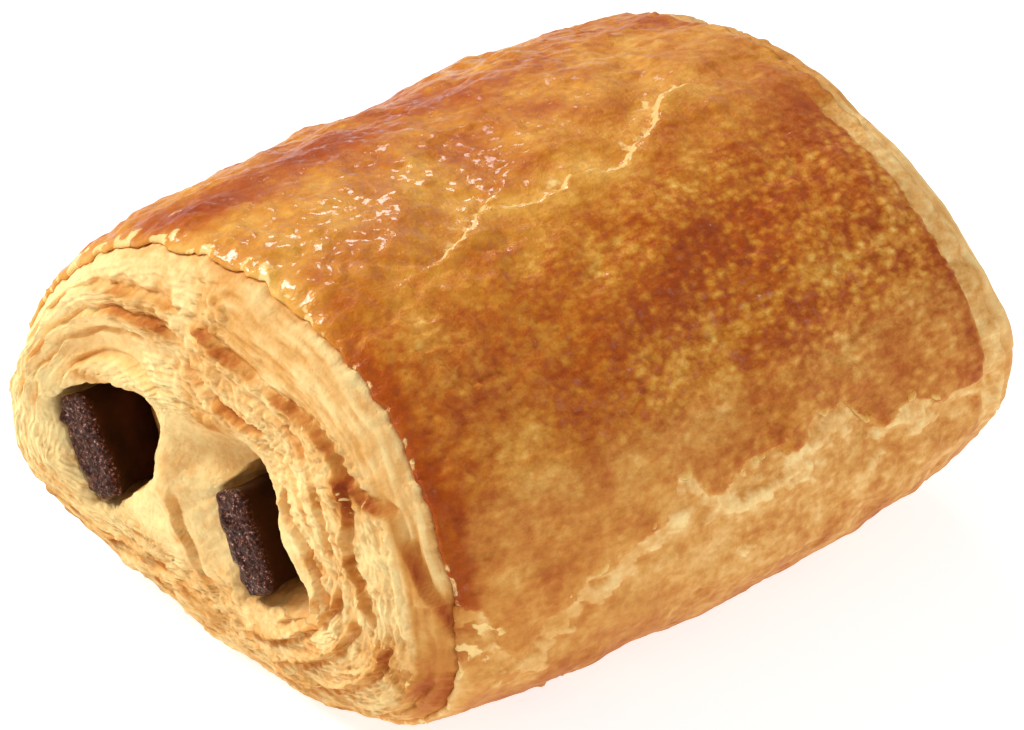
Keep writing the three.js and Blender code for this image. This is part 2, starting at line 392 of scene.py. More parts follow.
@dataclass
class MeshMaker:
    """Builds one closed mesh from grids that share their edges."""

    bm: bmesh.types.BMesh = field(default_factory=bmesh.new)
    values: tuple[str, ...] = ("toast", "wash", "bare", "lip", "lamina", "lined", "mottle")

    def __post_init__(self) -> None:
        """Add the vertex values that the finishes read."""
        self.layers = [self.bm.verts.layers.float.new(name) for name in self.values]

    def sheet(self, columns: int, rows: int, place: Place) -> None:
        """Lay a grid of faces whose corners are placed by a function.

        Args:
            columns: number of faces along it.
            rows: number of faces across it.
            place: gives the spot of column i and row j.
        """
        made = bmesh.ops.create_grid(self.bm, x_segments=columns, y_segments=rows, size=1.0)
        for vert in made["verts"]:
            i = round((vert.co.x + 1) / 2 * columns)
            j = round((vert.co.y + 1) / 2 * rows)
            spot = place(i, j)
            vert.co = spot.at * MM
            for name, layer in zip(self.values, self.layers):
                vert[layer] = getattr(spot, name)

    def finish(self, name: str, weld: float = 2e-6) -> Piece:
        """Weld the sheets into one closed surface and make it an object.

        Args:
            name: the piece's name.
            weld: distance in metres under which corners are one.

        Returns:
            The new object, smooth shaded, at the origin.
        """
        bm = self.bm
        bmesh.ops.remove_doubles(bm, verts=bm.verts, dist=weld)
        bmesh.ops.dissolve_degenerate(bm, edges=bm.edges, dist=1e-7)
        bmesh.ops.recalc_face_normals(bm, faces=bm.faces)
        mesh = bpy.data.meshes.new(name)
        for face in bm.faces:
            face.smooth = True
        bm.to_mesh(mesh)
        bm.free()
        piece = bpy.data.objects.new(name, mesh)
        bpy.context.scene.collection.objects.link(piece)
        return piece


@dataclass
class Skin:
    """A point of the crust, while its features are worked out one after the other.

    Args:
        x: its place along the roll.
        y: its place across the roll.
        z: its height.
        across: its place round the roll, in degrees from +Y over the top.
        per_degree: millimetres of crust for each degree.
        front: distance from the crust's front edge.
        rear: distance from its back edge.
        front_half: if it is in the front half.
        relief: how far the features raise it, and spot what they do to its finish.
    """

    x: float
    y: float
    z: float
    across: float
    per_degree: float
    front: float
    rear: float
    front_half: bool
    relief: float = 0.0
    spot: Spot = field(default_factory=lambda: Spot(Vector()))
    on_top: float = field(init=False)
    small: float = field(init=False)
    tiny: float = field(init=False)

    def __post_init__(self) -> None:
        """Work out the noise that several features share."""
        self.on_top = smooth(self.z, 30, 42)
        self.small = grain(self.x, self.y, self.z, 3.0, 4.0)
        self.tiny = grain(self.x, self.y, self.z, 1.3, 7.0)


@dataclass(frozen=True)
class BrokenEdge:
    """A broken edge of the outermost sheet, along the top of the roll.

    Args:
        line: where it runs, as (x, degrees round the roll).
        opens: the x where it begins, and where it is whole.
        closes: the x where it starts to fade, and where it ends.
        step: how far the sheet stands up there.
        fade: how far from the edge the step dies out.
        waver: how far the small and the tiny noise bend it.
    """

    line: Profile
    opens: Pair
    closes: Pair
    step: float
    fade: float
    waver: Pair
    softness: float = 0.3

    def share(self, x: float) -> float:
        """How open it is at an x, from 0 to 1."""
        return smooth(x, *self.opens) * (1 - smooth(x, *self.closes))

    def lift(self, skin: Skin) -> float:
        """Raise the sheet on the -Y side of the edge, and sink the other side.

        Args:
            skin: the point, which is changed.

        Returns:
            Its distance from the edge, positive on the +Y side.
        """
        off = (self.line.at(skin.x) - skin.across) * skin.per_degree
        off += self.waver[0] * skin.small + self.waver[1] * skin.tiny
        step = 0.5 - smooth(off, -self.softness, self.softness)
        skin.relief += self.step * step * math.exp(-abs(off) / self.fade) * self.share(skin.x)
        return off


@dataclass(frozen=True)
class BakedCrust:
    """What the oven did to the crust: swellings, blisters, broken edges, flakes and browning, with painted
    shade low on the bare side.

    Args:
        browning: by degrees from +Y over the top.
        mottled: how strongly the browning breaks up into spots, by the same degrees.
        patches: places that are browner or paler.
        split: the split on top, whose -Y sheet stands up.
        terrace: a second, lower broken edge on its sunk side.
        skirt: the lower edge of the washed layer on the -Y side, as (x, degrees).
        swelling: height of the soft swellings.
        dome_size: width of the blisters, and dome_rise their height.
        ridge_size: width of the fine crinkles, and ridge_rise their height.
        crinkle_rise: what is added to it where the crust is crinkled.
        shoulder_rise: height of the long blisters on the +Y shoulder.
        peel_edge: noise level over which the outermost layer is lost.
        peel_depth: depth where it is lost.
        skirt_step: depth of the bare layer next to the washed layer's edge.
        flake_rise: height of the cream flakes on the bare layer.
        dark_edge: how much browner the rolled front edge is.
        pale_rim_x: where the pale rim at the back edge begins.
        pale_rim_step: depth of that rim.
    """

    browning: Profile = profile(
        (-20, 0.34), (0, 0.36), (12, 0.50), (30, 0.54), (45, 0.57), (62, 0.66), (74, 0.56), (95, 0.50),
        (112, 0.52), (124, 0.53), (136, 0.57), (147, 0.60), (156, 0.58), (163, 0.52), (172, 0.52),
        (178, 0.50),
    )
    mottled: Profile = profile(
        (0, 0.6), (60, 0.6), (85, 0.45), (112, 0.5), (125, 1.0), (155, 1.1), (165, 0.7), (180, 0.7)
    )
    patches: tuple[Patch, ...] = many(
        Patch,
        (-34, 62, 9, 6, 0.24), (-37, 52, 5, 6, 0.10), (-16, 60, 8, 4, 0.12), (-20, 66, 6, 3, 0.06),
        (26, 48, 15, 8, -0.06), (30, 72, 12, 8, -0.12), (8, 67, 10, 7, -0.05), (0, 80, 5, 5, 0.08),
        (10, 83, 3, 2.5, 0.16), (-30, 78, 10, 6, -0.05), (-12, 90, 6, 8, -0.09), (15, 95, 5, 4, 0.08),
        (36, 92, 4, 6, 0.10), (38, 114, 7, 9, 0.22), (23, 107, 6, 5, 0.13), (30, 121, 7, 5, 0.10),
        (-4, 106, 11, 4, -0.08), (-16, 117, 4, 4, 0.12), (22, 134, 12, 4, 0.11), (37, 134, 6, 7, 0.06),
        (6, 130, 8, 5, -0.05), (-24, 137, 4, 4, 0.14), (-30, 128, 6, 5, -0.07), (-9, 144, 8, 6, 0.13),
        (-32, 145, 10, 4, 0.04), (20, 149, 12, 5, -0.08), (33, 151, 8, 5, -0.08), (-30, 153, 6, 5, -0.10),
        (-17, 173, 4, 3, 0.14), (36, 175, 5, 4, 0.18), (3, 169, 5, 3, 0.07), (-30, 166, 9, 8, 0.05),
        (-2, 58, 20, 8, 0.10), (8, 133, 5, 4, 0.10), (-36, 152, 4, 8, 0.06), (3, 139, 5, 5, 0.12),
    )
    split: BrokenEdge = BrokenEdge(
        profile(
            (-27, 115), (-20, 111.5), (-15, 108.5), (-10, 105), (-8.6, 107), (-5, 110), (-1, 110.7),
            (1, 108), (4, 109.6), (8, 111.3), (10, 109), (14, 106.5), (17, 104), (19, 101), (21, 98),
            (24, 97.4), (31, 98),
        ),
        opens=(-28, -17), closes=(24, 32), step=2.1, fade=7.0, waver=(0.7, 0.35),
    )
    terrace: BrokenEdge = BrokenEdge(
        profile((-13, 103), (-8, 100.5), (-3, 96.5), (1, 95), (6, 96), (13, 99)),
        opens=(-14, -10), closes=(8, 13), step=0.6, fade=3.0, waver=(1.2, 0.4),
    )
    skirt: Profile = profile(
        (-41, 178), (-38, 178), (-36, 189), (-33, 190), (-30, 184), (-26, 182), (-20, 179),
        (-14, 176.5), (-11, 173.5), (-9, 170.5), (-7, 171), (-5, 175.5), (-3, 176), (0, 174.5),
        (4, 173.5), (9, 174), (13, 171.5), (17, 172), (20, 176.5), (24, 178), (28, 176.5),
        (32, 179.5), (38, 179), (42, 180.5),
    )
    swelling: float = 0.55
    dome_size: float = 3.6
    dome_rise: float = 0.34
    ridge_size: float = 1.15
    ridge_rise: float = 0.05
    crinkle_rise: float = 0.14
    shoulder_rise: float = 0.4
    peel_edge: float = 0.36
    peel_depth: float = 0.22
    skirt_step: float = 0.6
    flake_rise: float = 0.30
    dark_edge: float = 0.32
    pale_rim_x: float = 38.9
    pale_rim_step: float = 0.5

    def bake(self, skin: Skin) -> None:
        """Give a point of the crust all its relief and its finish.

        Args:
            skin: the point, which is changed.
        """
        self.brown(skin)
        self.blister(skin)
        self.break_top(skin)
        self.peel(skin)
        self.end_wash(skin)
        self.glaze(skin)
        self.roll_front_edge(skin)
        self.pale_back_edge(skin)
        skin.spot.lip = min(1.0, skin.spot.lip)

    def brown(self, skin: Skin) -> None:
        """Brown the crust by its place round the roll, in patches and unevenly."""
        skin.spot.toast = self.browning.at(skin.across)
        skin.spot.toast += sum(patch.at(skin.x, skin.across) for patch in self.patches)
        skin.spot.toast += 0.16 * rough(skin.x, skin.y, skin.z, 10, 4, 5.0) + 0.05 * skin.small

    def blister(self, skin: Skin) -> None:
        """Raise soft swellings, blisters and crinkles.

        Args:
            skin: the point, which is changed.
        """
        x, y, z = skin.x, skin.y, skin.z
        skin.relief += self.swelling * waves(x / 8, y / 9 + z / 11, 1.7)
        skin.relief += 0.6 * self.swelling * waves(x / 3.5, y / 4 - z / 4, 0.3)
        skin.relief += 0.30 * grain(x, y, z, 6.5, 1.0) + 0.20 * skin.small + 0.09 * skin.tiny
        front_top = bell(x, -36, 10) * skin.on_top
        blistered = 0.25 + 0.75 * smooth(grain(x, y, z, 13, 5.0) + 0.8 * front_top, 0.0, 0.5)
        blistered *= 0.35 + 0.65 * smooth(z, 26, 40)
        domes = blisters(x + 0.8 * skin.small, 1.1 * y + 0.8 * skin.tiny, z, self.dome_size)
        skin.relief += self.dome_rise * blistered * (domes - 0.6)
        crinkled = bell(skin.across, 150, 20) + 0.9 * bell(skin.across, 66, 22)
        ridged = 1 - 2.4 * abs(grain(0.62 * x, y, z, self.ridge_size, 3.0))
        skin.relief += (self.ridge_rise + self.crinkle_rise * crinkled) * ridged
        skin.spot.toast -= 0.05 * blistered * (domes - 0.5) + 0.05 * crinkled * ridged
        # long blisters on the +Y shoulder
        long_waves = 0.4 * math.sin(0.9 * y + 1.5 * math.sin(x / 12)) * smooth(y, 4, 12)
        bumps = smooth(y, 0, 8) * max(0.0, rough(0.8 * x, 1.3 * y, z, 6.0, 3, 8.0))
        skin.relief += self.shoulder_rise * skin.on_top * (long_waves + bumps)

    def break_top(self, skin: Skin) -> None:
        """Break the top open along the split and the terrace, with thin pale edges.

        Args:
            skin: the point, which is changed.
        """
        spot, small, tiny = skin.spot, skin.small, skin.tiny
        off = self.split.lift(skin)
        shreds = (1.1 + 0.6 * small) * bell(off, -0.15, 0.5)
        shreds += 0.7 * bell(off, 1.3, 1.3) * smooth(tiny + 0.6 * small, 0.12, 0.3)
        shreds += 0.7 * bell(off, 1.6, 1.8) * smooth(grain(skin.x, skin.y, skin.z, 2.4, 6.0), 0.22, 0.32)
        paler = smooth(off, 0.2, 1.2) * (1 - smooth(off, 2, 6)) + bell(off, -1.2, 1.4)
        spot.lip += shreds * self.split.share(skin.x)
        spot.toast -= 0.12 * paler * self.split.share(skin.x)
        off = self.terrace.lift(skin)
        shreds = 0.7 * bell(off, -0.1, 0.35) * smooth(tiny + small, -0.2, 0.15)
        spot.lip += shreds * self.terrace.share(skin.x)

    def peel(self, skin: Skin) -> None:
        """Take away flakes of the outermost layer, with sharp ragged edges.

        Args:
            skin: the point, which is changed.
        """
        level = rough(0.8 * skin.x, 1.2 * skin.y, skin.z, 7.0, 4, 12.0) + 0.12 * (skin.on_top - 1)
        lost = smooth(level, self.peel_edge, self.peel_edge + 0.04)
        skin.relief -= self.peel_depth * lost
        skin.spot.toast -= 0.07 * lost
        skin.spot.lip += 0.55 * bell(level, self.peel_edge + 0.01, 0.022) * skin.on_top

    def end_wash(self, skin: Skin) -> None:
        """End the washed layer raggedly on both sides, over a bare layer with cream flakes, browner near the
        foot as painted shade.

        Args:
            skin: the point, which is changed.
        """
        x, y, z, across, spot = skin.x, skin.y, skin.z, skin.across, skin.spot
        under = (across - self.skirt.at(x)) * skin.per_degree + 1.6 * rough(x, y, z, 5.5, 4, 8.0)
        far_edge = 6 + 3 * math.sin(x / 9) + 4 * skin.small
        far_under = (far_edge - across) * skin.per_degree + 0.5 * skin.tiny
        under = max(under if across > 120 else -9.0, far_under if across < 60 else -9.0)
        spot.bare = smooth(under, -0.35, 0.35)
        skin.relief -= self.skirt_step * spot.bare * math.exp(-max(0.0, under) / 7)
        flaky = rough(0.7 * x, y, 1.2 * z, 4.2, 5, 2.0) + 0.15 * skin.small + 0.12 * skin.tiny
        flaky += 0.40 - 0.10 * under
        creamy = spot.bare * smooth(flaky, 0.16, 0.32)
        skin.relief += self.flake_rise * creamy
        spot.lip += 0.5 * spot.bare * bell(flaky, 0.24, 0.04)
        toast = 0.36 - 0.17 * creamy + 0.15 * rough(x, y, z, 4.0, 4, 2.0)
        toast += 0.12 * bell(x, 25, 6) * bell(across, 184, 4) + 0.10 * bell(x, -24, 8)
        # painted shade: browner towards the foot
        toast += 0.20 * (1 - smooth(z, 5, 20))
        spot.toast = mix(spot.toast, toast, spot.bare)
        # lace of flakes by the front edge
        rosette = (1 - smooth(x, -36, -34)) * bell(across, 185, 6)
        spot.lip += 0.8 * rosette * smooth(grain(x, y, z, 1.6, 3.0), -0.05, 0.1)

    def glaze(self, skin: Skin) -> None:
        """Gloss the washed layer, less on the side, where it is duller and pinkish.

        Args:
            skin: the point, which is changed.
        """
        x, across, spot = skin.x, skin.across, skin.spot
        matt = smooth(across, 156, 163) * smooth(x, -39.6, -38.6) * (1 - 0.5 * bell(x, 8, 5))
        glossy = 0.7 * bell(across, 94, 22) * (1 - smooth(x, -16, 6)) + 0.3 * bell(x, -40, 3)
        glossy += (0.2 + 0.5 * min(1.0, spot.lip)) * self.split.share(x)
        spot.wash = (0.75 + glossy) * (1 - 0.7 * matt) * (1 - 0.8 * spot.bare)

    def roll_front_edge(self, skin: Skin) -> None:
        """Roll the front edge over: dark on the side, and laced with pale shreds on top.

        Args:
            skin: the point, which is changed.
        """
        across, small, tiny, spot = skin.across, skin.small, skin.tiny, skin.spot
        front = max(0.0, skin.front)
        dark = smooth(across, 104, 128) * (1 - smooth(across, 186, 192))
        if skin.front_half:
            rolled = math.exp(-front / 1.4)
            broad = 1 - smooth(skin.front + 0.9 * small + 0.5 * tiny, 0.4, 4.4)
            spot.toast += self.dark_edge * dark * broad - 0.22 * (1 - dark) * rolled
            skin.relief += 0.30 * rolled * (blisters(skin.x, skin.y, skin.z, 1.5) - 0.4)
            lace = math.exp(-front / 2.6) * smooth(small + tiny, 0.0, 0.35)
            spot.lip += 1.1 * lace * (1 - smooth(across, 100, 118))
            spot.lip += 0.66 * math.exp(-front / 0.45) * smooth(tiny, 0.0, 0.3)

    def pale_back_edge(self, skin: Skin) -> None:
        """Let the washed layer stop short of the back edge, where a pale rim shows.

        Args:
            skin: the point, which is changed.
        """
        x, across, spot = skin.x, skin.across, skin.spot
        rolled = math.exp(-max(0.0, skin.front) / 1.4) if skin.front_half else 0.0
        spot.toast -= 0.12 * math.exp(-skin.rear / 1.2)
        beyond = x - self.pale_rim_x + 0.9 * skin.small + 0.4 * skin.tiny
        seen_side = smooth(across, 104, 126) * (1 - smooth(across, 184, 194))
        spot.toast += 0.16 * bell(beyond, -0.9, 0.9) * seen_side * smooth(across, 140, 165)
        rim = smooth(beyond, -0.2, 0.3) * seen_side
        rim_toast = 0.24 + 0.10 * rough(x, skin.y, skin.z, 4.0, 3, 9.0)
        spot.toast = mix(spot.toast, rim_toast, 0.9 * rim)
        skin.relief -= self.pale_rim_step * rim * math.exp(-max(0.0, beyond) / 2.5)
        spot.bare = max(spot.bare, rim)
        spot.wash *= 1 - 0.6 * rim
        spot.mottle = mix(self.mottled.at(across), 0.65, spot.bare)
        spot.mottle *= (1 - 0.5 * rolled) * (0.7 + 0.35 * smooth(x, -20, 10))


@dataclass
class RollForm:
    """The roll's outer form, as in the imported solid, with the finer relief of a baked crust.

    Sizes in threes are those at the front, in the middle and at the back of the roll, and sizes in
    twos those at its front and back edge.

    Args:
        crust_front: x of the crust's front edge.
        crust_back: x of its back edge.
        half_width: half its width.
        shift: how far its middle lies towards +Y.
        height: its height, before the foot is cut.
        waist: height of its widest place.
        top_power: how square its upper half is.
        base_power: how square its lower half is.
        rounding_top: how far its top turns in at an edge.
        rounding_side: how far its sides turn in there.
        rounding_power: how suddenly.
        foot_cut: how much the flat foot cuts off.
        front_slope: how far the top of the front edge leans back.
        ring_left: points round the left lobe.
        ring_right: points round the right lobe.
        head_angle: where the lobes meet on top, in degrees.
        foot_angle: where they meet below.
        axis_z: height of the flat spine that the relief points away from.
        spine: half the spine's width.
        crust_finish: what the oven did to the crust.
    """

    crust_front: float = -41.0
    crust_back: float = 42.0
    half_width: Triple = (39.2, 41.4, 41.6)
    shift: Triple = (1.6, 0.0, -0.2)
    height: Triple = (54.9, 53.0, 50.0)
    waist: Triple = (16.8, 18.0, 23.0)
    top_power: Triple = (2.12, 2.1, 1.8)
    base_power: Triple = (2.3, 2.6, 2.1)
    rounding_top: Pair = (3.0, 0.4)
    rounding_side: Pair = (1.0, 0.4)
    rounding_power: int = 9
    foot_cut: float = 0.7
    front_slope: float = 1.6
    ring_left: int = 200
    ring_right: int = 320
    head_angle: float = 79.0
    foot_angle: float = -78.0
    axis_z: float = 22.0
    spine: float = 18.0
    crust_finish: BakedCrust = BakedCrust()

    @property
    def ring(self) -> int:
        """Number of points round the roll."""
        return self.ring_left + self.ring_right

    def along(self, values: Triple, u: float) -> float:
        """Value between the front, middle and back ones, at u from -1 to 1."""
        return mix(values[1], values[0] if u < 0 else values[2], u * u)

    def ring_angle(self, i: int) -> float:
        """Angle of a point round the roll.

        Args:
            i: its number, from where the lobes meet below by way of +Y.

        Returns:
            The angle in radians, from +Y over the top.
        """
        k = i % self.ring
        if k <= self.ring_left:
            return math.radians(mix(self.foot_angle, self.head_angle, k / self.ring_left))
        share = (k - self.ring_left) / self.ring_right
        return math.radians(mix(self.head_angle, self.foot_angle + 360, share))

    def plain(self, u: float, angle: float) -> Vector:
        """Point of the form without its relief.

        Args:
            u: from -1 at the front edge to 1 at the back edge.
            angle: in radians, from +Y over the top.

        Returns:
            Its place in millimetres.
        """
        c, s = math.cos(angle), math.sin(angle)
        turn_in = abs(u) ** self.rounding_power
        end = 0 if u < 0 else 1
        half_width = self.along(self.half_width, u) - self.rounding_side[end] * turn_in
        waist = self.along(self.waist, u)
        height = self.along(self.height, u) - self.rounding_top[end] * turn_in
        power = 2 / self.along(self.top_power if s > 0 else self.base_power, u)
        y = self.along(self.shift, u) + half_width * signed_power(c, power)
        z = waist + (height - waist if s > 0 else waist) * signed_power(s, power)
        near_front = (-u) ** 7 if u < 0 else 0.0
        lift = 3.8 * smooth(y, 3, 20) + 1.2 * bell(y, 9, 4)
        z += near_front * lift * (1 - smooth(z, 0, 24))
        z = max(z - self.foot_cut, 0.0)
        x = -u * self.crust_front if u < 0 else u * self.crust_back
        x += near_front * self.front_slope * smooth(z, 25, 48)
        return Vector((x, y, z))

    def front_edge(self, angle: float) -> float:
        """The x of the crust's front edge at an angle round the roll."""
        return self.plain(-1.0, angle).x

    def degrees_across(self, y: float, z: float) -> float:
        """Degrees round the roll from +Y over the top, from -90 to 270."""
        across = math.degrees(math.atan2(z - self.axis_z, y))
        return across + 360 if across < -90 else across

    def outward(self, y: float, z: float) -> Vector:
        """The way out of the roll at (y, z), from a flat spine inside it."""
        spine = min(self.spine, max(-self.spine, y))
        return Vector((0, y - spine, z - self.axis_z)).normalized()

    def crust(self, u: float, angle: float) -> Spot:
        """Finished point of the crust, with its relief and browning.

        Args:
            u: from -1 at the front edge to 1 at the back edge.
            angle: in radians, from +Y over the top.

        Returns:
            The spot, in millimetres.
        """
        x, y, z = self.plain(u, angle)
        skin = Skin(
            x, y, z,
            across=self.degrees_across(y, z),
            per_degree=math.radians(1) * math.hypot(y, z - self.axis_z),
            front=x - self.front_edge(angle),
            rear=self.crust_back - x,
            front_half=u < 0,
        )
        self.crust_finish.bake(skin)
        relief = skin.relief * smooth(z, 1.0, 6.0)
        out = self.outward(y, z)
        rolled = math.exp(-max(0.0, skin.front) / 1.4) if skin.front_half else 0.0
        x += (0.45 * skin.small + 0.3 * skin.tiny) * (rolled + math.exp(-skin.rear / 1.2))
        skin.spot.at = Vector((x, y + relief * out.y, max(0.0, z + relief * out.z)))
        return skin.spot


@dataclass
class FaceSkin:
    """A point of an end face, while its features are worked out one after the other.

    Args:
        x: its place along the roll, on the level of the crust's edge.
        y: its place across the roll.
        z: its height.
        angle: its direction from the middle of the end, in radians.
        gap: its distance in from the crust's edge.
        relief: how far the features raise it, and spot what they do to its finish.
        gutter: 1 in the smooth gutter inside the crust's edge, and 0 outside it.
        centre: 1 between and round the mouths, and 0 outside.
        coiled: 1 where the coiled layers show, and 0 elsewhere.
    """

    x: float
    y: float
    z: float
    angle: float
    gap: float
    relief: float = 0.0
    spot: Spot = field(default_factory=lambda: Spot(Vector(), wash=0.2, bare=0.8))
    gutter: float = 0.0
    centre: float = 0.0
    coiled: float = 0.0
    turn: float = field(init=False)
    arc: float = field(init=False)
    small: float = field(init=False)
    tiny: float = field(init=False)

    def __post_init__(self) -> None:
        """Work out the measures and the noise that several features share."""
        self.turn = math.degrees(self.angle) % 360
        self.arc = 34 * self.angle
        self.small = grain(self.x, self.y, self.z, 3.0, 1.5)
        self.tiny = grain(self.x, self.y, self.z, 1.4, 2.5)


@dataclass(frozen=True)
class CoiledDough:
    """What shows on an end face: coiled and torn layers, folds, a gutter and their browning, with painted
    shade in creases and hollows.

    Args:
        rim_browning: how much browner the band by the crust is, by degrees from +Y over the top.
        folds: the layers' edges that stand out.
        mounds: soft swellings and hollows.
        calm: places where the dough is smooth and whole, with rises up to 1.
        marks: browner or paler places, as patches over (y, z); some browner ones are painted shade in
            hollows, and some paler ones a painted highlight.
        lined: how clearly fine layers show, by the same degrees.
        layered: how deep the coarser layers are.
        browning: how brown the face is.
        gutter: width of the smooth gutter inside the crust's edge.
        layer: thickness of the coarser layers.
        layer_step: how far they stand over each other.
        plate_rise: height of the larger torn plates, and fine_plate_rise that of the smaller ones.
        bubble_rise: height of the glossy bubbles along the top.
        facet_rise: height of the broken facets at the right.
    """

    rim_browning: Profile
    folds: tuple[Fold, ...] = many(
        Fold,
        # the browned seam at the foot of the smooth gutter, and the fold that leaves it
        (
            (
                (7, 44), (4, 43.3), (-1, 42.3), (-8.4, 40.8), (-14, 40), (-18, 38), (-21, 35.2), (-25, 34.2),
                (-28, 33), (-32, 28), (-36, 21), (-37, 15),
            ),
            1.1, 3.5, 0.5, 0.50,
        ),
        (
            ((-19.5, 37), (-22.3, 33.5), (-22.6, 30), (-23.3, 26.5), (-26, 23), (-27.5, 18)),
            0.9, 2.5, 0.5, 0.4,
        ),
        # nested layers of the left lobe
        (((37, 18), (36, 24), (33, 31), (28, 37.5), (22, 41.5), (14, 43.8), (6, 44.3)), 0.9, 2.2, 0.5, 0.18),
        (((34, 20), (33, 26), (30, 32), (25, 36.5), (19, 39.8), (13, 41), (8, 40.5)), 1.0, 2.0, 0.6, 0.22),
        (((31, 21), (30.5, 27), (27.5, 32), (23, 35), (18, 37), (13, 38)), 0.6, 1.6, 0.5, 0.10),
        (((28.6, 25), (27, 28), (23.5, 31.2), (19, 32.6), (14, 32.8), (10, 32)), 1.0, 1.2, 0.7, 0.0),
        # layers between the two lobes and round the right one
        (((8, 38.5), (4, 36.4), (0, 35.0), (-4, 34.6), (-8, 35)), 0.7, 1.8, 1.4, 0.2),
        (((-2, 39.5), (-8, 38.5), (-13, 37), (-17, 33.5), (-19.5, 29), (-20.5, 25)), 0.6, 1.8, 0.4, 0.12),
        (((-4, 33), (-9, 33.6), (-13, 32), (-16, 29.5), (-18, 27)), 0.5, 1.5, 0.3, 0.06),
        # the pale curl beside the right mouth, and the slit behind it, darkened by painted shade in its
        # crease
        (((-10, 30), (-12, 27.2), (-14.5, 25.0), (-16.5, 22.8), (-19, 20), (-20, 18)), 1.2, 1.6, 3.0, 0.0),
        # layers that fan out under the right mouth
        (((-19, 20), (-17.5, 16.5), (-14, 13.5), (-10, 11.5)), 0.9, 1.3, 0.6, 0.2),
        (((-22, 23), (-21, 19), (-18, 15), (-14, 11.5), (-9, 9), (-3, 8)), 1.0, 1.5, 0.7, 0.24),
        (((-25, 20), (-22, 14), (-17, 9.5), (-11, 6.6), (-4, 5.5)), 1.0, 1.5, 0.7, 0.24),
        (((-30, 19), (-28, 13.5), (-23, 8.5), (-16, 5), (-8, 3.6)), 1.0, 1.8, 0.7, 0.24),
        (((-34.5, 15), (-30, 9), (-23, 4), (-14, 2)), 0.8, 2.0, 0.6, 0.2),
        # compressed layers under the left lobe
        (((-2, 6.5), (4, 8), (10, 9.5), (16, 9.2), (22, 9), (29, 11), (34, 15)), 0.8, 1.5, 0.6, 0.25),
        (((8, 7.2), (14, 6.6), (20, 6.6), (27, 8.2), (33, 11.5), (36.5, 15.5)), 0.7, 1.3, 0.5, 0.25),
        (((7.5, 22), (6, 17), (3, 12), (0, 9)), 0.6, 1.0, 0.6, 0.12),
    )
    mounds: tuple[Mound, ...] = many(
        Mound,
        # the cavity over the left mouth, the funnel into the right one and the septum between
        (21.5, 33.5, 9.0, 3.0, -21, -1.9), (0.5, 27.8, 6.0, 3.0, -12, -3.2),
        (8.5, 22.0, 8.0, 2.0, 76, 1.1), (3.5, 32.0, 4.0, 1.8, 20, 0.7),
        # the thick coils on both sides
        (36, 24, 11.0, 3.5, 82, 0.8), (-17, 31, 8.0, 3.5, 60, 0.9), (-12.6, 22.5, 6.5, 1.8, 52, 1.0),
        (-31, 21, 9.0, 3.0, 65, 0.7), (10, 10.5, 12.0, 2.2, 4, -0.9), (-24, 11, 8.0, 4.0, 50, 0.7),
    )
    calm: tuple[Mound, ...] = many(
        Mound,
        (21.5, 33.5, 8.5, 3.0, -21, 1.0), (-12.0, 23.0, 7.5, 2.6, 52, 1.0),
        (-7.0, 10.5, 4.5, 1.5, -15, 0.7), (-2.0, 29.5, 6.0, 2.5, -15, 1.0),
    )
    marks: tuple[Patch, ...] = many(
        Patch,
        (3, 31.6, 3.0, 1.3, 0.30), (7, 25.5, 2.0, 1.5, 0.14), (6, 15.8, 1.2, 0.8, 0.22),
        (14, 40.5, 4.0, 1.5, 0.18), (-15, 39.6, 3.0, 1.0, 0.16), (-21.5, 33.5, 2.5, 2.5, 0.14),
        # painted shade: (-17, 23.2) browns the slit, (24, 29.0) the left mouth's upper lip, (-2, 27.0) the
        # funnel into the right mouth, and (26.5, 31.0) the cavity over the left mouth
        (-22.5, 27, 1.5, 4.0, 0.10), (0, 35.4, 1.6, 0.9, 0.30), (-17, 23.2, 2.0, 1.0, 0.25),
        (24, 29.0, 3.0, 1.0, 0.22), (-2, 27.0, 3.0, 1.6, 0.26), (23, 7.0, 7.0, 2.5, 0.14),
        (-34, 12, 3.0, 5.0, 0.30), (-29.0, 15.5, 3.0, 3.0, 0.28), (-18.7, 15.0, 3.0, 2.0, -0.16),
        # painted highlight: (35, 32), (37, 16) and (38, 26) pale the outer coils of the left lobe
        (26.5, 31.0, 3.5, 2.0, 0.14), (35, 32, 4.0, 8.0, -0.14), (37, 16, 4.0, 5.0, -0.08),
        (38, 26, 3.0, 8.0, -0.16), (-13.5, 24.5, 1.6, 1.6, -0.12),
    )
    lined: Profile = profile(
        (0, 0.9), (40, 0.9), (62, 0.5), (100, 0.3), (180, 0.4), (205, 0.8), (280, 0.9), (300, 1.0), (360, 0.9)
    )
    layered: Profile = profile(
        (0, 0.18), (30, 0.28), (62, 0.40), (95, 0.22), (150, 0.14), (195, 0.34), (260, 0.38), (300, 0.28),
        (360, 0.18),
    )
    browning: Profile = profile(
        (0, 0.02), (30, 0.05), (55, 0.16), (80, 0.24), (110, 0.20), (160, 0.15), (190, 0.20), (225, 0.22),
        (265, 0.18), (290, 0.26), (320, 0.14), (360, 0.02),
    )
    gutter: Profile = profile(
        (84, 0.0), (92, 8.0), (120, 7.5), (135, 6.0), (150, 4.6), (165, 3.6), (200, 2.8), (215, 0.0)
    )
    layer: float = 1.55
    layer_step: float = 0.7
    plate_rise: float = 0.30
    fine_plate_rise: float = 0.16
    bubble_rise: float = 0.55
    facet_rise: float = 0.42

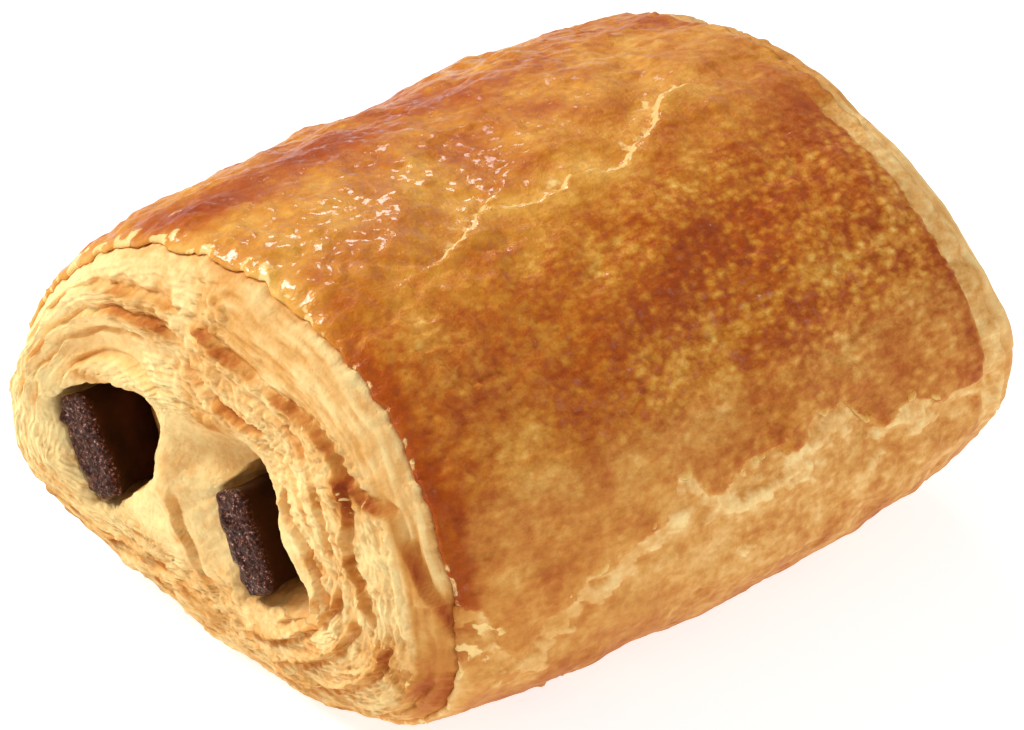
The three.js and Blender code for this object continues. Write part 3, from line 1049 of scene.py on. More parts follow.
    def bake(self, face: FaceSkin) -> None:
        """Give a point of the face all its relief and its finish.

        Args:
            face: the point, which is changed.
        """
        self.divide(face)
        face.spot.toast = self.browning.at(face.turn) + 0.13 * rough(face.x, face.y, face.z, 5.0, 3, 2.0)
        self.shingle(face)
        self.tear(face)
        self.bubble(face)
        self.scratch(face)
        self.calm_down(face)
        self.fold(face)
        toast = face.spot.toast
        face.spot.toast = toast if toast < 0.5 else 0.5 + 0.6 * (toast - 0.5)
        fine = max(face.coiled, 0.45 * face.gutter) * smooth(face.gap, 0.5, 1.5)
        face.spot.lined = self.lined.at(face.turn) * fine
        face.spot.mottle = 0.45 - 0.2 * face.gutter

    def divide(self, face: FaceSkin) -> None:
        """Find out if a point is in the gutter, in the centre or on the coil, and swell it.

        Args:
            face: the point, which is changed.
        """
        y, z = face.y, face.z
        width = self.gutter.at(face.turn)
        face.gutter = smooth(width - face.gap, -0.3, 0.3) if width > 0.5 else 0.0
        face.centre = 1 - smooth(math.hypot((y - 7) / 24, (z - 22) / 10), 0.7, 1.1)
        face.coiled = (1 - face.gutter) * (1 - face.centre) * (1 - self.calmness(y, z))
        face.relief += 0.5 * waves(y / 4, z / 4.5, 2.2) + sum(mound.at(y, z) for mound in self.mounds)
        face.relief += (0.26 - 0.12 * face.gutter) * face.small + (0.11 - 0.04 * face.gutter) * face.tiny

    def calmness(self, y: float, z: float) -> float:
        """How smooth and whole the dough is at a place, from 0 to 1."""
        return min(1.0, sum(place.at(y, z) for place in self.calm))

    def shingle(self, face: FaceSkin) -> None:
        """Lay layers over each other like shingles, broken up here and there.

        Args:
            face: the point, which is changed.
        """
        x, y, z = face.x, face.y, face.z
        lamina = face.gap / self.layer + 0.9 * grain(x, y, z, 7.0, 9.0) + 0.35 * face.small
        part = lamina % 1.0
        shingle = smooth(part, 0.0, 0.22) * (1 - 0.85 * part)
        shown = self.layered.at(face.turn) * (0.25 + 0.75 * face.coiled)
        shown *= smooth(grain(x, y, z, 6.0, 4.0), -0.45, 0.25)
        face.relief += self.layer_step * shown * (shingle - 0.4) * smooth(face.gap, 0.4, 1.5)
        face.spot.toast += 0.26 * shown * (shingle - 0.5)
        face.spot.lamina = lamina

    def tear(self, face: FaceSkin) -> None:
        """Raise torn plates of thin layers, with sharp pale edges.

        Args:
            face: the point, which is changed.
        """
        torn = noise.fractal(Vector((face.arc / 5.5, face.gap / 1.5, 7.3)), 0.8, 2.2, 3)
        fine = noise.fractal(Vector((face.arc / 2.6, face.gap / 0.8, 1.9)), 0.8, 2.2, 2)
        plates = self.plate_rise * smooth(torn, -0.05, 0.08)
        plates += self.fine_plate_rise * smooth(fine, 0.0, 0.12)
        face.relief += plates * (face.coiled + 0.25 * face.centre)
        face.spot.toast += 0.30 * (0.26 - plates) * face.coiled
        face.spot.lip = face.coiled * (0.5 * bell(torn, 0.07, 0.04) + 0.35 * bell(fine, 0.1, 0.05))

    def bubble(self, face: FaceSkin) -> None:
        """Raise glossy bubbles along the top."""
        bubbly = bell(face.turn, 78, 26) * face.coiled
        face.relief += self.bubble_rise * bubbly * (blisters(face.x, face.y, face.z, 2.0) - 0.5)
        face.spot.wash += 0.4 * bubbly

    def scratch(self, face: FaceSkin) -> None:
        """Break the layers at the right into facets, scratched across.

        Args:
            face: the point, which is changed.
        """
        scratched = smooth(face.turn, 95, 115) * (1 - smooth(face.turn, 200, 215)) * face.coiled
        along = (face.arc + 0.5 * face.small) / 1.3
        scratch = 1 - 2.2 * abs(noise.noise(Vector((along, face.gap / 4.5, 3.1))))
        facet = blisters(1.25 * face.arc, 0.75 * face.gap + 0.6 * face.small, 5.0, 2.6)
        face.relief += scratched * (0.10 * scratch + self.facet_rise * (facet - 0.5))
        face.spot.toast -= 0.05 * scratch * scratched
        face.spot.lip += 0.3 * scratched * bell(facet, 0.08, 0.14)

    def calm_down(self, face: FaceSkin) -> None:
        """Wrinkle the gutter, pale the smooth places, and add the marks, some of them painted shade and
        painted highlight.

        Args:
            face: the point, which is changed.
        """
        x, y, z, turn, spot = face.x, face.y, face.z, face.turn, face.spot
        wrinkle = noise.fractal(Vector((face.arc / 7.0, face.gap / 0.8, 4.4)), 0.9, 2.1, 3)
        face.relief += 0.26 * wrinkle * face.gutter
        gutter_toast = 0.24 + 0.18 * smooth(turn, 150, 190) + 0.10 * bell(turn, 95, 12)
        gutter_toast += 0.10 * face.small - 0.22 * wrinkle
        spot.toast = mix(spot.toast, gutter_toast, face.gutter)
        pale = 0.10 + 0.08 * rough(x, y, z, 6.0, 3, 6.0)
        spot.toast = mix(spot.toast, pale, max(face.centre, self.calmness(y, z)))
        spot.toast += sum(mark.at(y, z) for mark in self.marks)
        spot.toast += self.rim_browning.at(turn) * (1 - smooth(face.gap, 1.0, 4.0))

    def fold(self, face: FaceSkin) -> None:
        """Raise the edges of the folds, and brown them in patches.

        Args:
            face: the point, which is changed.
        """
        ragged = 0.45 * face.small + 0.2 * face.tiny
        patchy = 0.3 + 0.9 * smooth(grain(face.x, face.y, face.z, 4.5, 11.0), -0.3, 0.3)
        for fold in self.folds:
            rise, brown = fold.relief(face.y, face.z, ragged)
            face.relief += rise
            face.spot.toast += brown * patchy


@dataclass
class EndFace:
    """One end of the roll: coiled layers that swell round two open mouths.

    Args:
        form: the roll that it ends.
        name: which end.
        mouths: the left mouth and the right one.
        layers: what shows on it.
        swell: how far the layers swell past the crust's edge.
        flare: how far the band next to the crust's edge stands out.
        band_rows: rows of faces in that band.
        coil_rows: rows from the band to the core round the mouths.
        core_rows: rows from there to the mouths.
        mouth_rows: rows down into the mouths.
        septum: points along the line between the mouths.
        centre_z: height of the middle of the end.
        core: half length, half height and squareness of the core.
        core_middle: its middle.
        band_width: width of the band.
        crust_edge: how far in under the crust's edge the face begins.
        lip: how far the mouths' lips turn in.
        swell_in: how far in from the crust's edge the swelling builds up.
        rim: the crust's edge, and soft_rim the same without its raggedness.
        polar: both as (angle, radius, x) round the middle of the end, the soft one in soft_polar.
        mouth_rims: the spots of the mouths' rims that are worked out already.
    """

    form: RollForm
    name: EndName
    mouths: tuple[Mouth, Mouth]
    layers: CoiledDough
    swell: float
    flare: float
    band_rows: int
    coil_rows: int
    core_rows: int
    mouth_rows: int
    septum: int = 60
    centre_z: float = 24.0
    core: Triple = (26.2, 11.4, 2.8)
    core_middle: Pair = (5.6, 21.0)
    band_width: float = 5.0
    crust_edge: float = 0.85
    lip: float = 1.5
    swell_in: float = 2.6
    rim: list[Spot] = field(default_factory=list)
    soft_rim: list[Vector] = field(default_factory=list)
    polar: list[Triple] = field(default_factory=list)
    soft_polar: list[Triple] = field(default_factory=list)
    mouth_rims: dict[tuple[Half, int], Spot] = field(default_factory=dict)

    def __post_init__(self) -> None:
        """Work out the crust's edge once, as it is and without its raggedness."""
        u = float(self.name.value)
        count = self.form.ring
        self.rim = [self.form.crust(u, self.form.ring_angle(i)) for i in range(count)]
        near = range(-7, 8)
        for i in range(count):
            total = sum((self.rim[(i + k) % count].at for k in near), Vector())
            self.soft_rim.append(total / len(near))
        self.polar = self.polar_list([spot.at for spot in self.rim])
        self.soft_polar = self.polar_list(self.soft_rim)

    def polar_list(self, points: Sequence[Vector]) -> list[Triple]:
        """Points as (angle, radius, x) round the middle of the end, by angle."""
        offsets = [(p.y, p.z - self.centre_z, p.x) for p in points]
        return sorted((math.atan2(dz, dy), math.hypot(dy, dz), x) for dy, dz, x in offsets)

    def edge_at(self, polar: Sequence[Triple], angle: float) -> Pair:
        """Where an edge lies in one direction from the middle of the end.

        Args:
            polar: the edge, as (angle, radius, x) by angle.
            angle: the direction in radians.

        Returns:
            Its radius and its x.
        """
        high = bisect_right(polar, (angle, math.inf, 0.0))
        b = polar[high % len(polar)]
        a = polar[high - 1]
        span = (b[0] - a[0]) % math.tau
        t = ((angle - a[0]) % math.tau) / max(span, 1e-9)
        return mix(a[1], b[1], t), mix(a[2], b[2], t)

    def dough(self, y: float, z: float, sink: float = 0.0) -> Spot:
        """The finished face over one place.

        Args:
            y: the place.
            z: the place.
            sink: how far it is pushed in, towards a mouth's lip.

        Returns:
            The spot, in millimetres.
        """
        angle = math.atan2(z - self.centre_z, y)
        reach = math.hypot(y, z - self.centre_z) + self.crust_edge
        radius, x = self.edge_at(self.polar, angle)
        soft_radius, soft_x = self.edge_at(self.soft_polar, angle)
        gap = max(0.0, radius - reach)
        away = smooth(gap, 0.3, 2.0)
        gap = mix(gap, max(0.0, soft_radius - reach), away)
        face = FaceSkin(mix(x, soft_x, away), y, z, angle, gap)
        self.layers.bake(face)
        swell = self.swell * (1 - math.exp(-gap / self.swell_in))
        out = swell + face.relief * smooth(gap, 0.1, 1.6) - sink
        face.spot.at = Vector((face.x + self.name.value * out, y, max(0.0, z)))
        return face.spot

    def core_at(self, i: int) -> Pair:
        """Where the core's outline faces one point of the crust's edge.

        Args:
            i: the point's number.

        Returns:
            The place (y, z).
        """
        rim = self.rim[i % self.form.ring].at
        ry, rz, power = self.core
        mid_y, mid_z = self.core_middle
        angle = math.atan2((rim.z - mid_z) / rz, (rim.y - mid_y) / ry)
        y = mid_y + ry * signed_power(math.cos(angle), 2 / power)
        return y, mid_z + rz * signed_power(math.sin(angle), 2 / power)

    def coil_spot(self, i: int, row: int) -> Spot:
        """A spot of the coil, from under the crust's edge through the band to the core.

        Args:
            i: its number round the roll.
            row: its row, from the edge inwards.

        Returns:
            The spot, in millimetres.
        """
        rim = self.rim[i % self.form.ring].at
        rows = self.band_rows + self.coil_rows
        core_y, core_z = self.core_at(i)
        if row == rows:
            return self.dough(core_y, core_z)
        reach = math.hypot(core_y - rim.y, core_z - rim.z)
        if row == 0:
            # tucked under the crust's edge
            tuck = (self.crust_edge - 0.2) / reach
            y, z = mix(rim.y, core_y, tuck), mix(rim.z, core_z, tuck)
            x = rim.x - self.name.value * 0.6
            return Spot(Vector((x, y, max(0.0, z))), 0.4, 0.3, 0.8)
        band = min(self.band_width, 0.4 * reach)
        in_band = row <= self.band_rows
        part = row / self.band_rows if in_band else (row - self.band_rows) / self.coil_rows
        gap = mix(self.crust_edge - 0.15, band, part) if in_band else mix(band, reach, part)
        if in_band:
            rim = rim.lerp(self.soft_rim[i % self.form.ring], smooth(part, 0.0, 0.5))
        else:
            rim = self.soft_rim[i % self.form.ring]
        y, z = mix(rim.y, core_y, gap / reach), mix(rim.z, core_z, gap / reach)
        spot = self.dough(y, z)
        if in_band:
            flare = self.flare * math.sin(math.pi * part)
            spot.at.y += flare * (rim.y - core_y) / reach
            spot.at.z = max(0.0, spot.at.z + flare * (rim.z - core_z) / reach)
        return spot

    def mouth(self, half: Half) -> Mouth:
        """The mouth in one half."""
        return self.mouths[0 if half is Half.LEFT else 1]

    def loop_steps(self, half: Half) -> int:
        """Number of points of the loop round one half of the core."""
        arc = self.form.ring_left if half is Half.LEFT else self.form.ring_right
        return arc + self.septum

    def loop_at(self, half: Half, k: int) -> Pair:
        """Where a point of the loop round one half of the core lies.

        Args:
            half: which half.
            k: the point's number.

        Returns:
            The place (y, z).
        """
        arc = self.form.ring_left if half is Half.LEFT else self.form.ring_right
        first = 0 if half is Half.LEFT else self.form.ring_left
        if k <= arc:
            return self.core_at(first + k)
        step = k - arc if half is Half.LEFT else self.septum - (k - arc)
        head, foot = self.core_at(self.form.ring_left), self.core_at(0)
        t = step / self.septum
        return mix(head[0], foot[0], t), mix(head[1], foot[1], t)

    def mouth_angle(self, half: Half, k: int) -> float:
        """Direction from a mouth's middle to a point of the loop round it.

        Args:
            half: which mouth.
            k: the point's number.

        Returns:
            The angle in radians.
        """
        m = self.mouth(half)
        y, z = self.loop_at(half, k % self.loop_steps(half))
        return math.atan2(z - m.z, y - m.y)

    def mouth_rim(self, half: Half, k: int) -> Spot:
        """The spot of a mouth's rim that faces one point of the loop.

        Args:
            half: which mouth.
            k: the point's number.

        Returns:
            The spot, in millimetres.
        """
        if (half, k) not in self.mouth_rims:
            m = self.mouth(half)
            angle = self.mouth_angle(half, k)
            c, s = math.cos(angle), math.sin(angle)
            radius = m.rim(angle) + 0.3 * grain(9 * c, 9 * s, m.y, 1.6, 5.0)
            self.mouth_rims[half, k] = self.dough(m.y + radius * c, m.z + radius * s, self.lip)
        return self.mouth_rims[half, k]

    def core_spot(self, half: Half, k: int, row: int) -> Spot:
        """A spot between the loop round half of the core and its mouth's rim.

        Args:
            half: which half.
            k: its number round the loop.
            row: its row, from the loop to the rim.

        Returns:
            The spot, in millimetres.
        """
        k %= self.loop_steps(half)
        y, z = self.loop_at(half, k)
        if row == 0:
            return self.dough(y, z)
        rim = self.mouth_rim(half, k)
        if row == self.core_rows:
            return rim
        part = row / self.core_rows
        return self.dough(mix(y, rim.at.y, part), mix(z, rim.at.z, part), self.lip * part**3)

    def build(self, maker: MeshMaker) -> None:
        """Add the coil and the core round both mouths.

        Args:
            maker: the mesh that takes them.
        """
        maker.sheet(self.form.ring, self.band_rows + self.coil_rows, self.coil_spot)
        for half in Half:
            count = self.loop_steps(half)
            maker.sheet(count, self.core_rows, lambda k, j, h=half: self.core_spot(h, k, j))


@dataclass
class Sleeves:
    """The sleeves round the sticks, and the hidden back of each end, which closes it.

    Args:
        stick: the form of the sticks.
        places: where they lie.
        gap: between a stick and the end of its sleeve.
        depth: of the funnel from a mouth's rim to the sleeve's end.
        wall: how far inside the crust the hidden back runs.
        shoulder_x: distance of its outer corner from the roll's middle.
        back_x: distance of the hidden back from it.
    """

    stick: StickForm
    places: dict[Half, StickPlace]
    gap: float = 0.4
    depth: float = 8.0
    wall: float = 3.2
    shoulder_x: float = 37.5
    back_x: float = 33.0

    def mouth_spot(self, end: EndFace, half: Half, k: int, row: int) -> Spot:
        """A spot of a sleeve, from the mouth's rim in to the hidden back, browner deeper in as painted shade.

        Args:
            end: the end face that it belongs to.
            half: which sleeve.
            k: its number round the sleeve.
            row: its row, from the rim inwards.

        Returns:
            The spot, in millimetres.
        """
        k %= end.loop_steps(half)
        rim = end.mouth_rim(half, k)
        if row == 0:
            return rim
        place = self.places[half]
        y, z = self.stick.outline(place, end.mouth_angle(half, k), self.gap)
        y, z = place.y + y, place.z + z
        if row == end.mouth_rows + 1:
            return Spot(Vector((end.name.value * self.back_x, y, z)), 0.5, 0.1, 0.8)
        part = row / end.mouth_rows
        narrow = part**1.4
        x = rim.at.x - end.name.value * self.depth * part
        y, z = mix(rim.at.y, y, narrow), mix(rim.at.z, z, narrow)
        bulge = 0.3 * grain(x, y, z, 2.6, 4.0) * math.sin(math.pi * part)
        # painted shade: the sleeve browns from 0.22 at the rim to 0.46 deep inside
        return Spot(Vector((x, y + bulge, z + bulge)), mix(0.22, 0.46, part), 0.2, 0.8)

    def hidden(self, end: EndFace, x: float, y: float, z: float) -> Spot:
        """A spot of the hidden back, at a distance x from the roll's middle."""
        return Spot(Vector((end.name.value * x, y, z)), 0.5, 0.1, 0.8)

    def core_back(self, end: EndFace, half: Half, k: int, row: int) -> Spot:
        """A spot of the hidden back, between a sleeve's end and the loop.

        Args:
            end: the end face that it belongs to.
            half: which sleeve.
            k: its number round the loop.
            row: 0 at the sleeve's end, and 1 at the loop.

        Returns:
            The spot, in millimetres.
        """
        k %= end.loop_steps(half)
        if row == 0:
            return self.mouth_spot(end, half, k, end.mouth_rows + 1)
        return self.hidden(end, self.back_x, *end.loop_at(half, k))

    def outer_back(self, end: EndFace, i: int, row: int) -> Spot:
        """A spot of the hidden back, from the loop out to the crust and forward to the face.

        Args:
            end: the end face that it belongs to.
            i: its number round the roll.
            row: from 0 at the loop to 3 at the face's first row.

        Returns:
            The spot, in millimetres.
        """
        core_y, core_z = end.core_at(i)
        if row == 0:
            return self.hidden(end, self.back_x, core_y, core_z)
        if row == 3:
            return end.coil_spot(i, 0)
        rim = end.rim[i % end.form.ring].at
        share = self.wall / math.hypot(core_y - rim.y, core_z - rim.z)
        x = self.back_x if row == 1 else self.shoulder_x
        return self.hidden(end, x, mix(rim.y, core_y, share), mix(rim.z, core_z, share))

    def build(self, end: EndFace, maker: MeshMaker) -> None:
        """Add both sleeves and the back of one end.

        Args:
            end: the end face that they belong to.
            maker: the mesh that takes them.
        """
        for half in Half:
            count = end.loop_steps(half)
            maker.sheet(count, end.mouth_rows + 1, lambda k, j, h=half: self.mouth_spot(end, h, k, j))
            maker.sheet(count, 1, lambda k, j, h=half: self.core_back(end, h, k, j))
        maker.sheet(end.form.ring, 3, lambda i, j: self.outer_back(end, i, j))


@dataclass
class CrustSheet:
    """The browned outermost sheet of dough, with an inner wall that closes it.

    Args:
        form: the roll that it covers.
        rows: from its front edge to its back edge.
        inside: the rows of its inner wall, as (u, depth under the surface).
    """

    form: RollForm
    rows: int = 180
    inside: tuple[Pair, ...] = (
        (1.0, 0.45), (0.995, 0.8), (0.93, 2.4), (-0.93, 2.4), (-0.995, 0.8), (-1.0, 0.45),
    )

    def spot(self, i: int, j: int) -> Spot:
        """A spot of the sheet.

        Args:
            i: its number round the roll.
            j: its row: outside from front to back, and then inside from back to front.

        Returns:
            The spot, in millimetres.
        """
        angle = self.form.ring_angle(i)
        j %= self.rows + len(self.inside) + 1
        if j <= self.rows:
            return self.form.crust(-1 + 2 * j / self.rows, angle)
        u, depth = self.inside[j - self.rows - 1]
        spot = self.form.crust(u, angle) if depth < 1 else Spot(self.form.plain(u, angle))
        out = self.form.outward(spot.at.y, spot.at.z)
        spot.at.y -= depth * out.y
        spot.at.z = max(0.3, spot.at.z - depth * out.z)
        if abs(u) == 1.0:
            spot.at.x += 0.12 * u
        spot.wash *= 0.4
        return spot

    def build(self, finish: Material) -> Piece:
        """Build and dress the crust.

        Args:
            finish: the dough's material.

        Returns:
            The finished piece.
        """
        maker = MeshMaker()
        maker.sheet(self.form.ring, self.rows + len(self.inside) + 1, self.spot)
        return dress(maker.finish("crust"), finish, "pastry")


def dress(piece: Piece, finish: Material, node: str = "") -> Piece:
    """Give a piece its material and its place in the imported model.

    Args:
        piece: the piece.
        finish: its material.
        node: the solid that it stands for, if any.

    Returns:
        The same piece.
    """
    piece.data.materials.append(finish)
    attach(piece, "root")
    if node:
        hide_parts(node)
    return piece


@dataclass(frozen=True)
class Hem:
    """One place on the root of the strip of flakes.

    Args:
        root: where the strip leaves the surface.
        out: away from the surface.
        over: along the surface, the way that the flakes point.
        toast: how brown the strip is at its root.
    """

    root: Vector
    out: Vector
    over: Vector
    toast: float


@dataclass
class Flakes:
    """The strip of thin flakes that overhangs the bare layer, along the washed layer's edge.

    Args:
        form: the roll that it is on.
        first_x: where the strip begins.
        last_x: where it ends.
        above: how far above the edge its root runs, in degrees.
        reach: greatest overhang.
        lift: how far its tips stand off the surface.
        cover: share of the length that has flakes, from -1 for little to 1 for all.
        seed: for the raggedness of its edge.
        tuck: how far the strip runs back under the surface.
        step: length of a face along the strip.
    """

    form: RollForm
    first_x: float = -37.0
    last_x: float = 42.0
    above: float = 1.0
    length: float = 92.0
    reach: float = 0.9
    lift: float = 0.15
    cover: float = -0.15
    seed: float = 3.0
    tuck: float = 0.7
    thickness: float = 0.1
    tip_toast: float = 0.2
    step: float = 0.22
    rows: int = 5

    def hem(self, share: float) -> Hem:
        """The strip's root, just above the washed layer's edge.

        Args:
            share: share of the strip's length passed.

        Returns:
            The hem.
        """
        form = self.form
        x = mix(self.first_x, self.last_x, share)
        across = form.crust_finish.skirt.at(x) - self.above
        u = min(1.0, max(-1.0, x / -form.crust_front if x < 0 else x / form.crust_back))
        low, high = math.radians(-80), math.radians(280)
        for _ in range(18):
            middle = (low + high) / 2
            p = form.plain(u, middle)
            if form.degrees_across(p.y, p.z) < across:
                low = middle
            else:
                high = middle
        spot = form.crust(u, low)
        out = form.outward(spot.at.y, spot.at.z)
        down = Vector((0, 0, -1))
        return Hem(spot.at, out, (down - out * down.dot(out)).normalized(), spot.toast)

    def spot(self, hem: Hem, share: float, t: float, side: int) -> Spot:
        """A spot of one side of the strip.

        Args:
            hem: the strip's root there.
            share: share of the strip's length passed.
            t: from 0 at the root to 1 at the tip.
            side: 1 on top, -1 below, and 0 on the border, where both sides meet.

        Returns:
            The spot, in millimetres.
        """
        along = self.length * share
        wide = noise.noise(Vector((along / 3.2, self.seed, 1.0))) + self.cover
        fine = noise.noise(Vector((along / 0.9, self.seed, 5.0)))
        open_ended = min(1.0, 6 * share, 6 * (1 - share))
        reach = self.reach * (smooth(wide, -0.25, 0.45) + 0.3 * fine) * open_ended
        here = smooth(reach, 0.1, 0.4)
        height = mix(-0.5, 0.02, here) - 0.35 * (1 - t) ** 2
        height += here * self.lift * t**1.6 * (0.7 + 0.5 * fine)
        over = mix(-self.tuck, max(0.05, reach), t)
        at = hem.root + hem.over * over + hem.out * (height + side * self.thickness / 2)
        at.z = max(0.02, at.z)
        return Spot(at, mix(hem.toast, self.tip_toast, t), 0.6, 0.0, 0.8 * t**3)

    def build(self, finish: Material) -> Piece:
        """Build and dress the flakes, as a thin closed sheet.

        Args:
            finish: the dough's material.

        Returns:
            The finished piece.
        """
        columns = round(self.length / self.step)
        hems = [self.hem(i / columns) for i in range(columns + 1)]

        def place(i: int, j: int, side: int) -> Spot:
            """The spot of column i and row j on one side."""
            border = i in (0, columns) or j in (0, self.rows)
            return self.spot(hems[i], i / columns, j / self.rows, 0 if border else side)

        maker = MeshMaker()
        maker.sheet(columns, self.rows, lambda i, j: place(i, j, 1))
        maker.sheet(columns, self.rows, lambda i, j: place(i, j, -1))
        return dress(maker.finish("flakes"), finish)


def linear(display: float) -> float:
    """Linear value of a display value from 0 to 255."""
    c = display / 255
    return c / 12.92 if c <= 0.04045 else ((c + 0.055) / 1.055) ** 2.4


def shown(colour: Triple) -> Colour:
    """Linear colour of a display colour from 0 to 255."""
    return (*(linear(c) for c in colour), 1.0)


class NodeGraph:
    """Short calls for making a material's nodes."""

    def __init__(self, name: str) -> None:
        """Start a material with an empty shader.

        Args:
            name: the material's name.
        """
        self.material = bpy.data.materials.new(name)
        self.material.use_nodes = True
        self.tree = self.material.node_tree
        self.shader = self.tree.nodes["Principled BSDF"]

    def wire(self, kind: str, output: str | int, feeds: dict[str | int, Feed], **values: object) -> Socket:
        """Add a node and feed it.

        Args:
            kind: Blender's name of its type.
            output: the output that is wanted.
            feeds: what goes into its inputs.
            **values: its own values, by name.

        Returns:
            The output.
        """
        made = self.tree.nodes.new(kind)
        for name, value in values.items():
            setattr(made, name, value)
        for name, value in feeds.items():
            self.feed(made.inputs[name], value)
        return made.outputs[output]

    def feed(self, socket: Socket, value: Feed) -> None:
        """Link a socket to another, or set its value.

        Args:
            socket: the socket that is fed.
            value: the other socket, or a number or colour.
        """
        if isinstance(value, Socket):
            self.tree.links.new(value, socket)
        else:
            socket.default_value = value

    def steady(self, **values: Feed) -> None:
        """Set constant values on the shader, by its sockets' names with _ for each space."""
        for name, value in values.items():
            self.shader.inputs[name.replace("_", " ")].default_value = value

    def value(self, name: str) -> Socket:
        """A vertex value of the piece."""
        return self.wire("ShaderNodeAttribute", "Fac", {}, attribute_name=name)

    def place(self, scale: Triple = (1, 1, 1)) -> Socket:
        """Object coordinates in millimetres, stretched by a scale."""
        own = self.wire("ShaderNodeTexCoord", "Object", {})
        return self.wire("ShaderNodeMapping", "Vector", {"Vector": own, "Scale": [s / MM for s in scale]})

    def noise(self, vector: Socket, size: float, detail: float = 3.0, rough: float = 0.55) -> Socket:
        """Noise from 0 to 1, with features of one size in millimetres."""
        feeds = {"Vector": vector, "Scale": 1 / size, "Detail": detail, "Roughness": rough}
        return self.wire("ShaderNodeTexNoise", "Fac", feeds)

    def cells(self, vector: Socket, size: float) -> Socket:
        """Distance from the middles of scattered cells of one size in millimetres."""
        return self.wire("ShaderNodeTexVoronoi", "Distance", {"Vector": vector, "Scale": 1 / size})

    def math(self, operation: str, a: Feed, b: Feed = 0.0, clamp: bool = False) -> Socket:
        """A sum, product or other operation on sockets or numbers."""
        return self.wire("ShaderNodeMath", "Value", {0: a, 1: b}, operation=operation, use_clamp=clamp)

    def total(self, *terms: Feed) -> Feed:
        """Sum of several sockets or numbers."""
        return reduce(lambda a, b: self.math("ADD", a, b), terms)

    def spread(self, source: Socket, low: float, high: float, to_low: float, to_high: float) -> Socket:
        """Map the range from low to high to another, and stop at its ends."""
        feeds = {"Value": source, "From Min": low, "From Max": high, "To Min": to_low, "To Max": to_high}
        return self.wire("ShaderNodeMapRange", "Result", feeds, clamp=True)

    def ramp(self, source: Socket, stops: Stops) -> Socket:
        """Colours by a value.

        Args:
            source: the value.
            stops: places from 0 to 1, each with a display colour from 0 to 255.

        Returns:
            The colour.
        """
        made = self.tree.nodes.new("ShaderNodeValToRGB")
        points = made.color_ramp.elements
        while len(points) < len(stops):
            points.new(0.5)
        for point, (at, colour) in zip(points, stops):
            point.position = at
            point.color = shown(colour)
        self.feed(made.inputs["Fac"], source)
        return made.outputs["Color"]

    def blend(self, factor: Feed, a: Feed, b: Feed, kind: str = "MIX") -> Socket:
        """Mix two colours, by the share of the second."""
        feeds = {0: factor, 6: a, 7: b}
        return self.wire("ShaderNodeMix", 2, feeds, data_type="RGBA", blend_type=kind, clamp_result=True)

    def bump(self, height: Socket, strength: Feed, distance: float, under: Socket | None = None) -> Socket:
        """Bump from a height.

        Args:
            height: from 0 to 1.
            strength: of the bump.
            distance: that the height stands for, in millimetres.
            under: another bump that it lies over.

        Returns:
            The normal.
        """
        feeds = {"Strength": strength, "Distance": distance * MM, "Height": height}
        if under is not None:
            feeds["Normal"] = under
        return self.wire("ShaderNodeBump", "Normal", feeds)


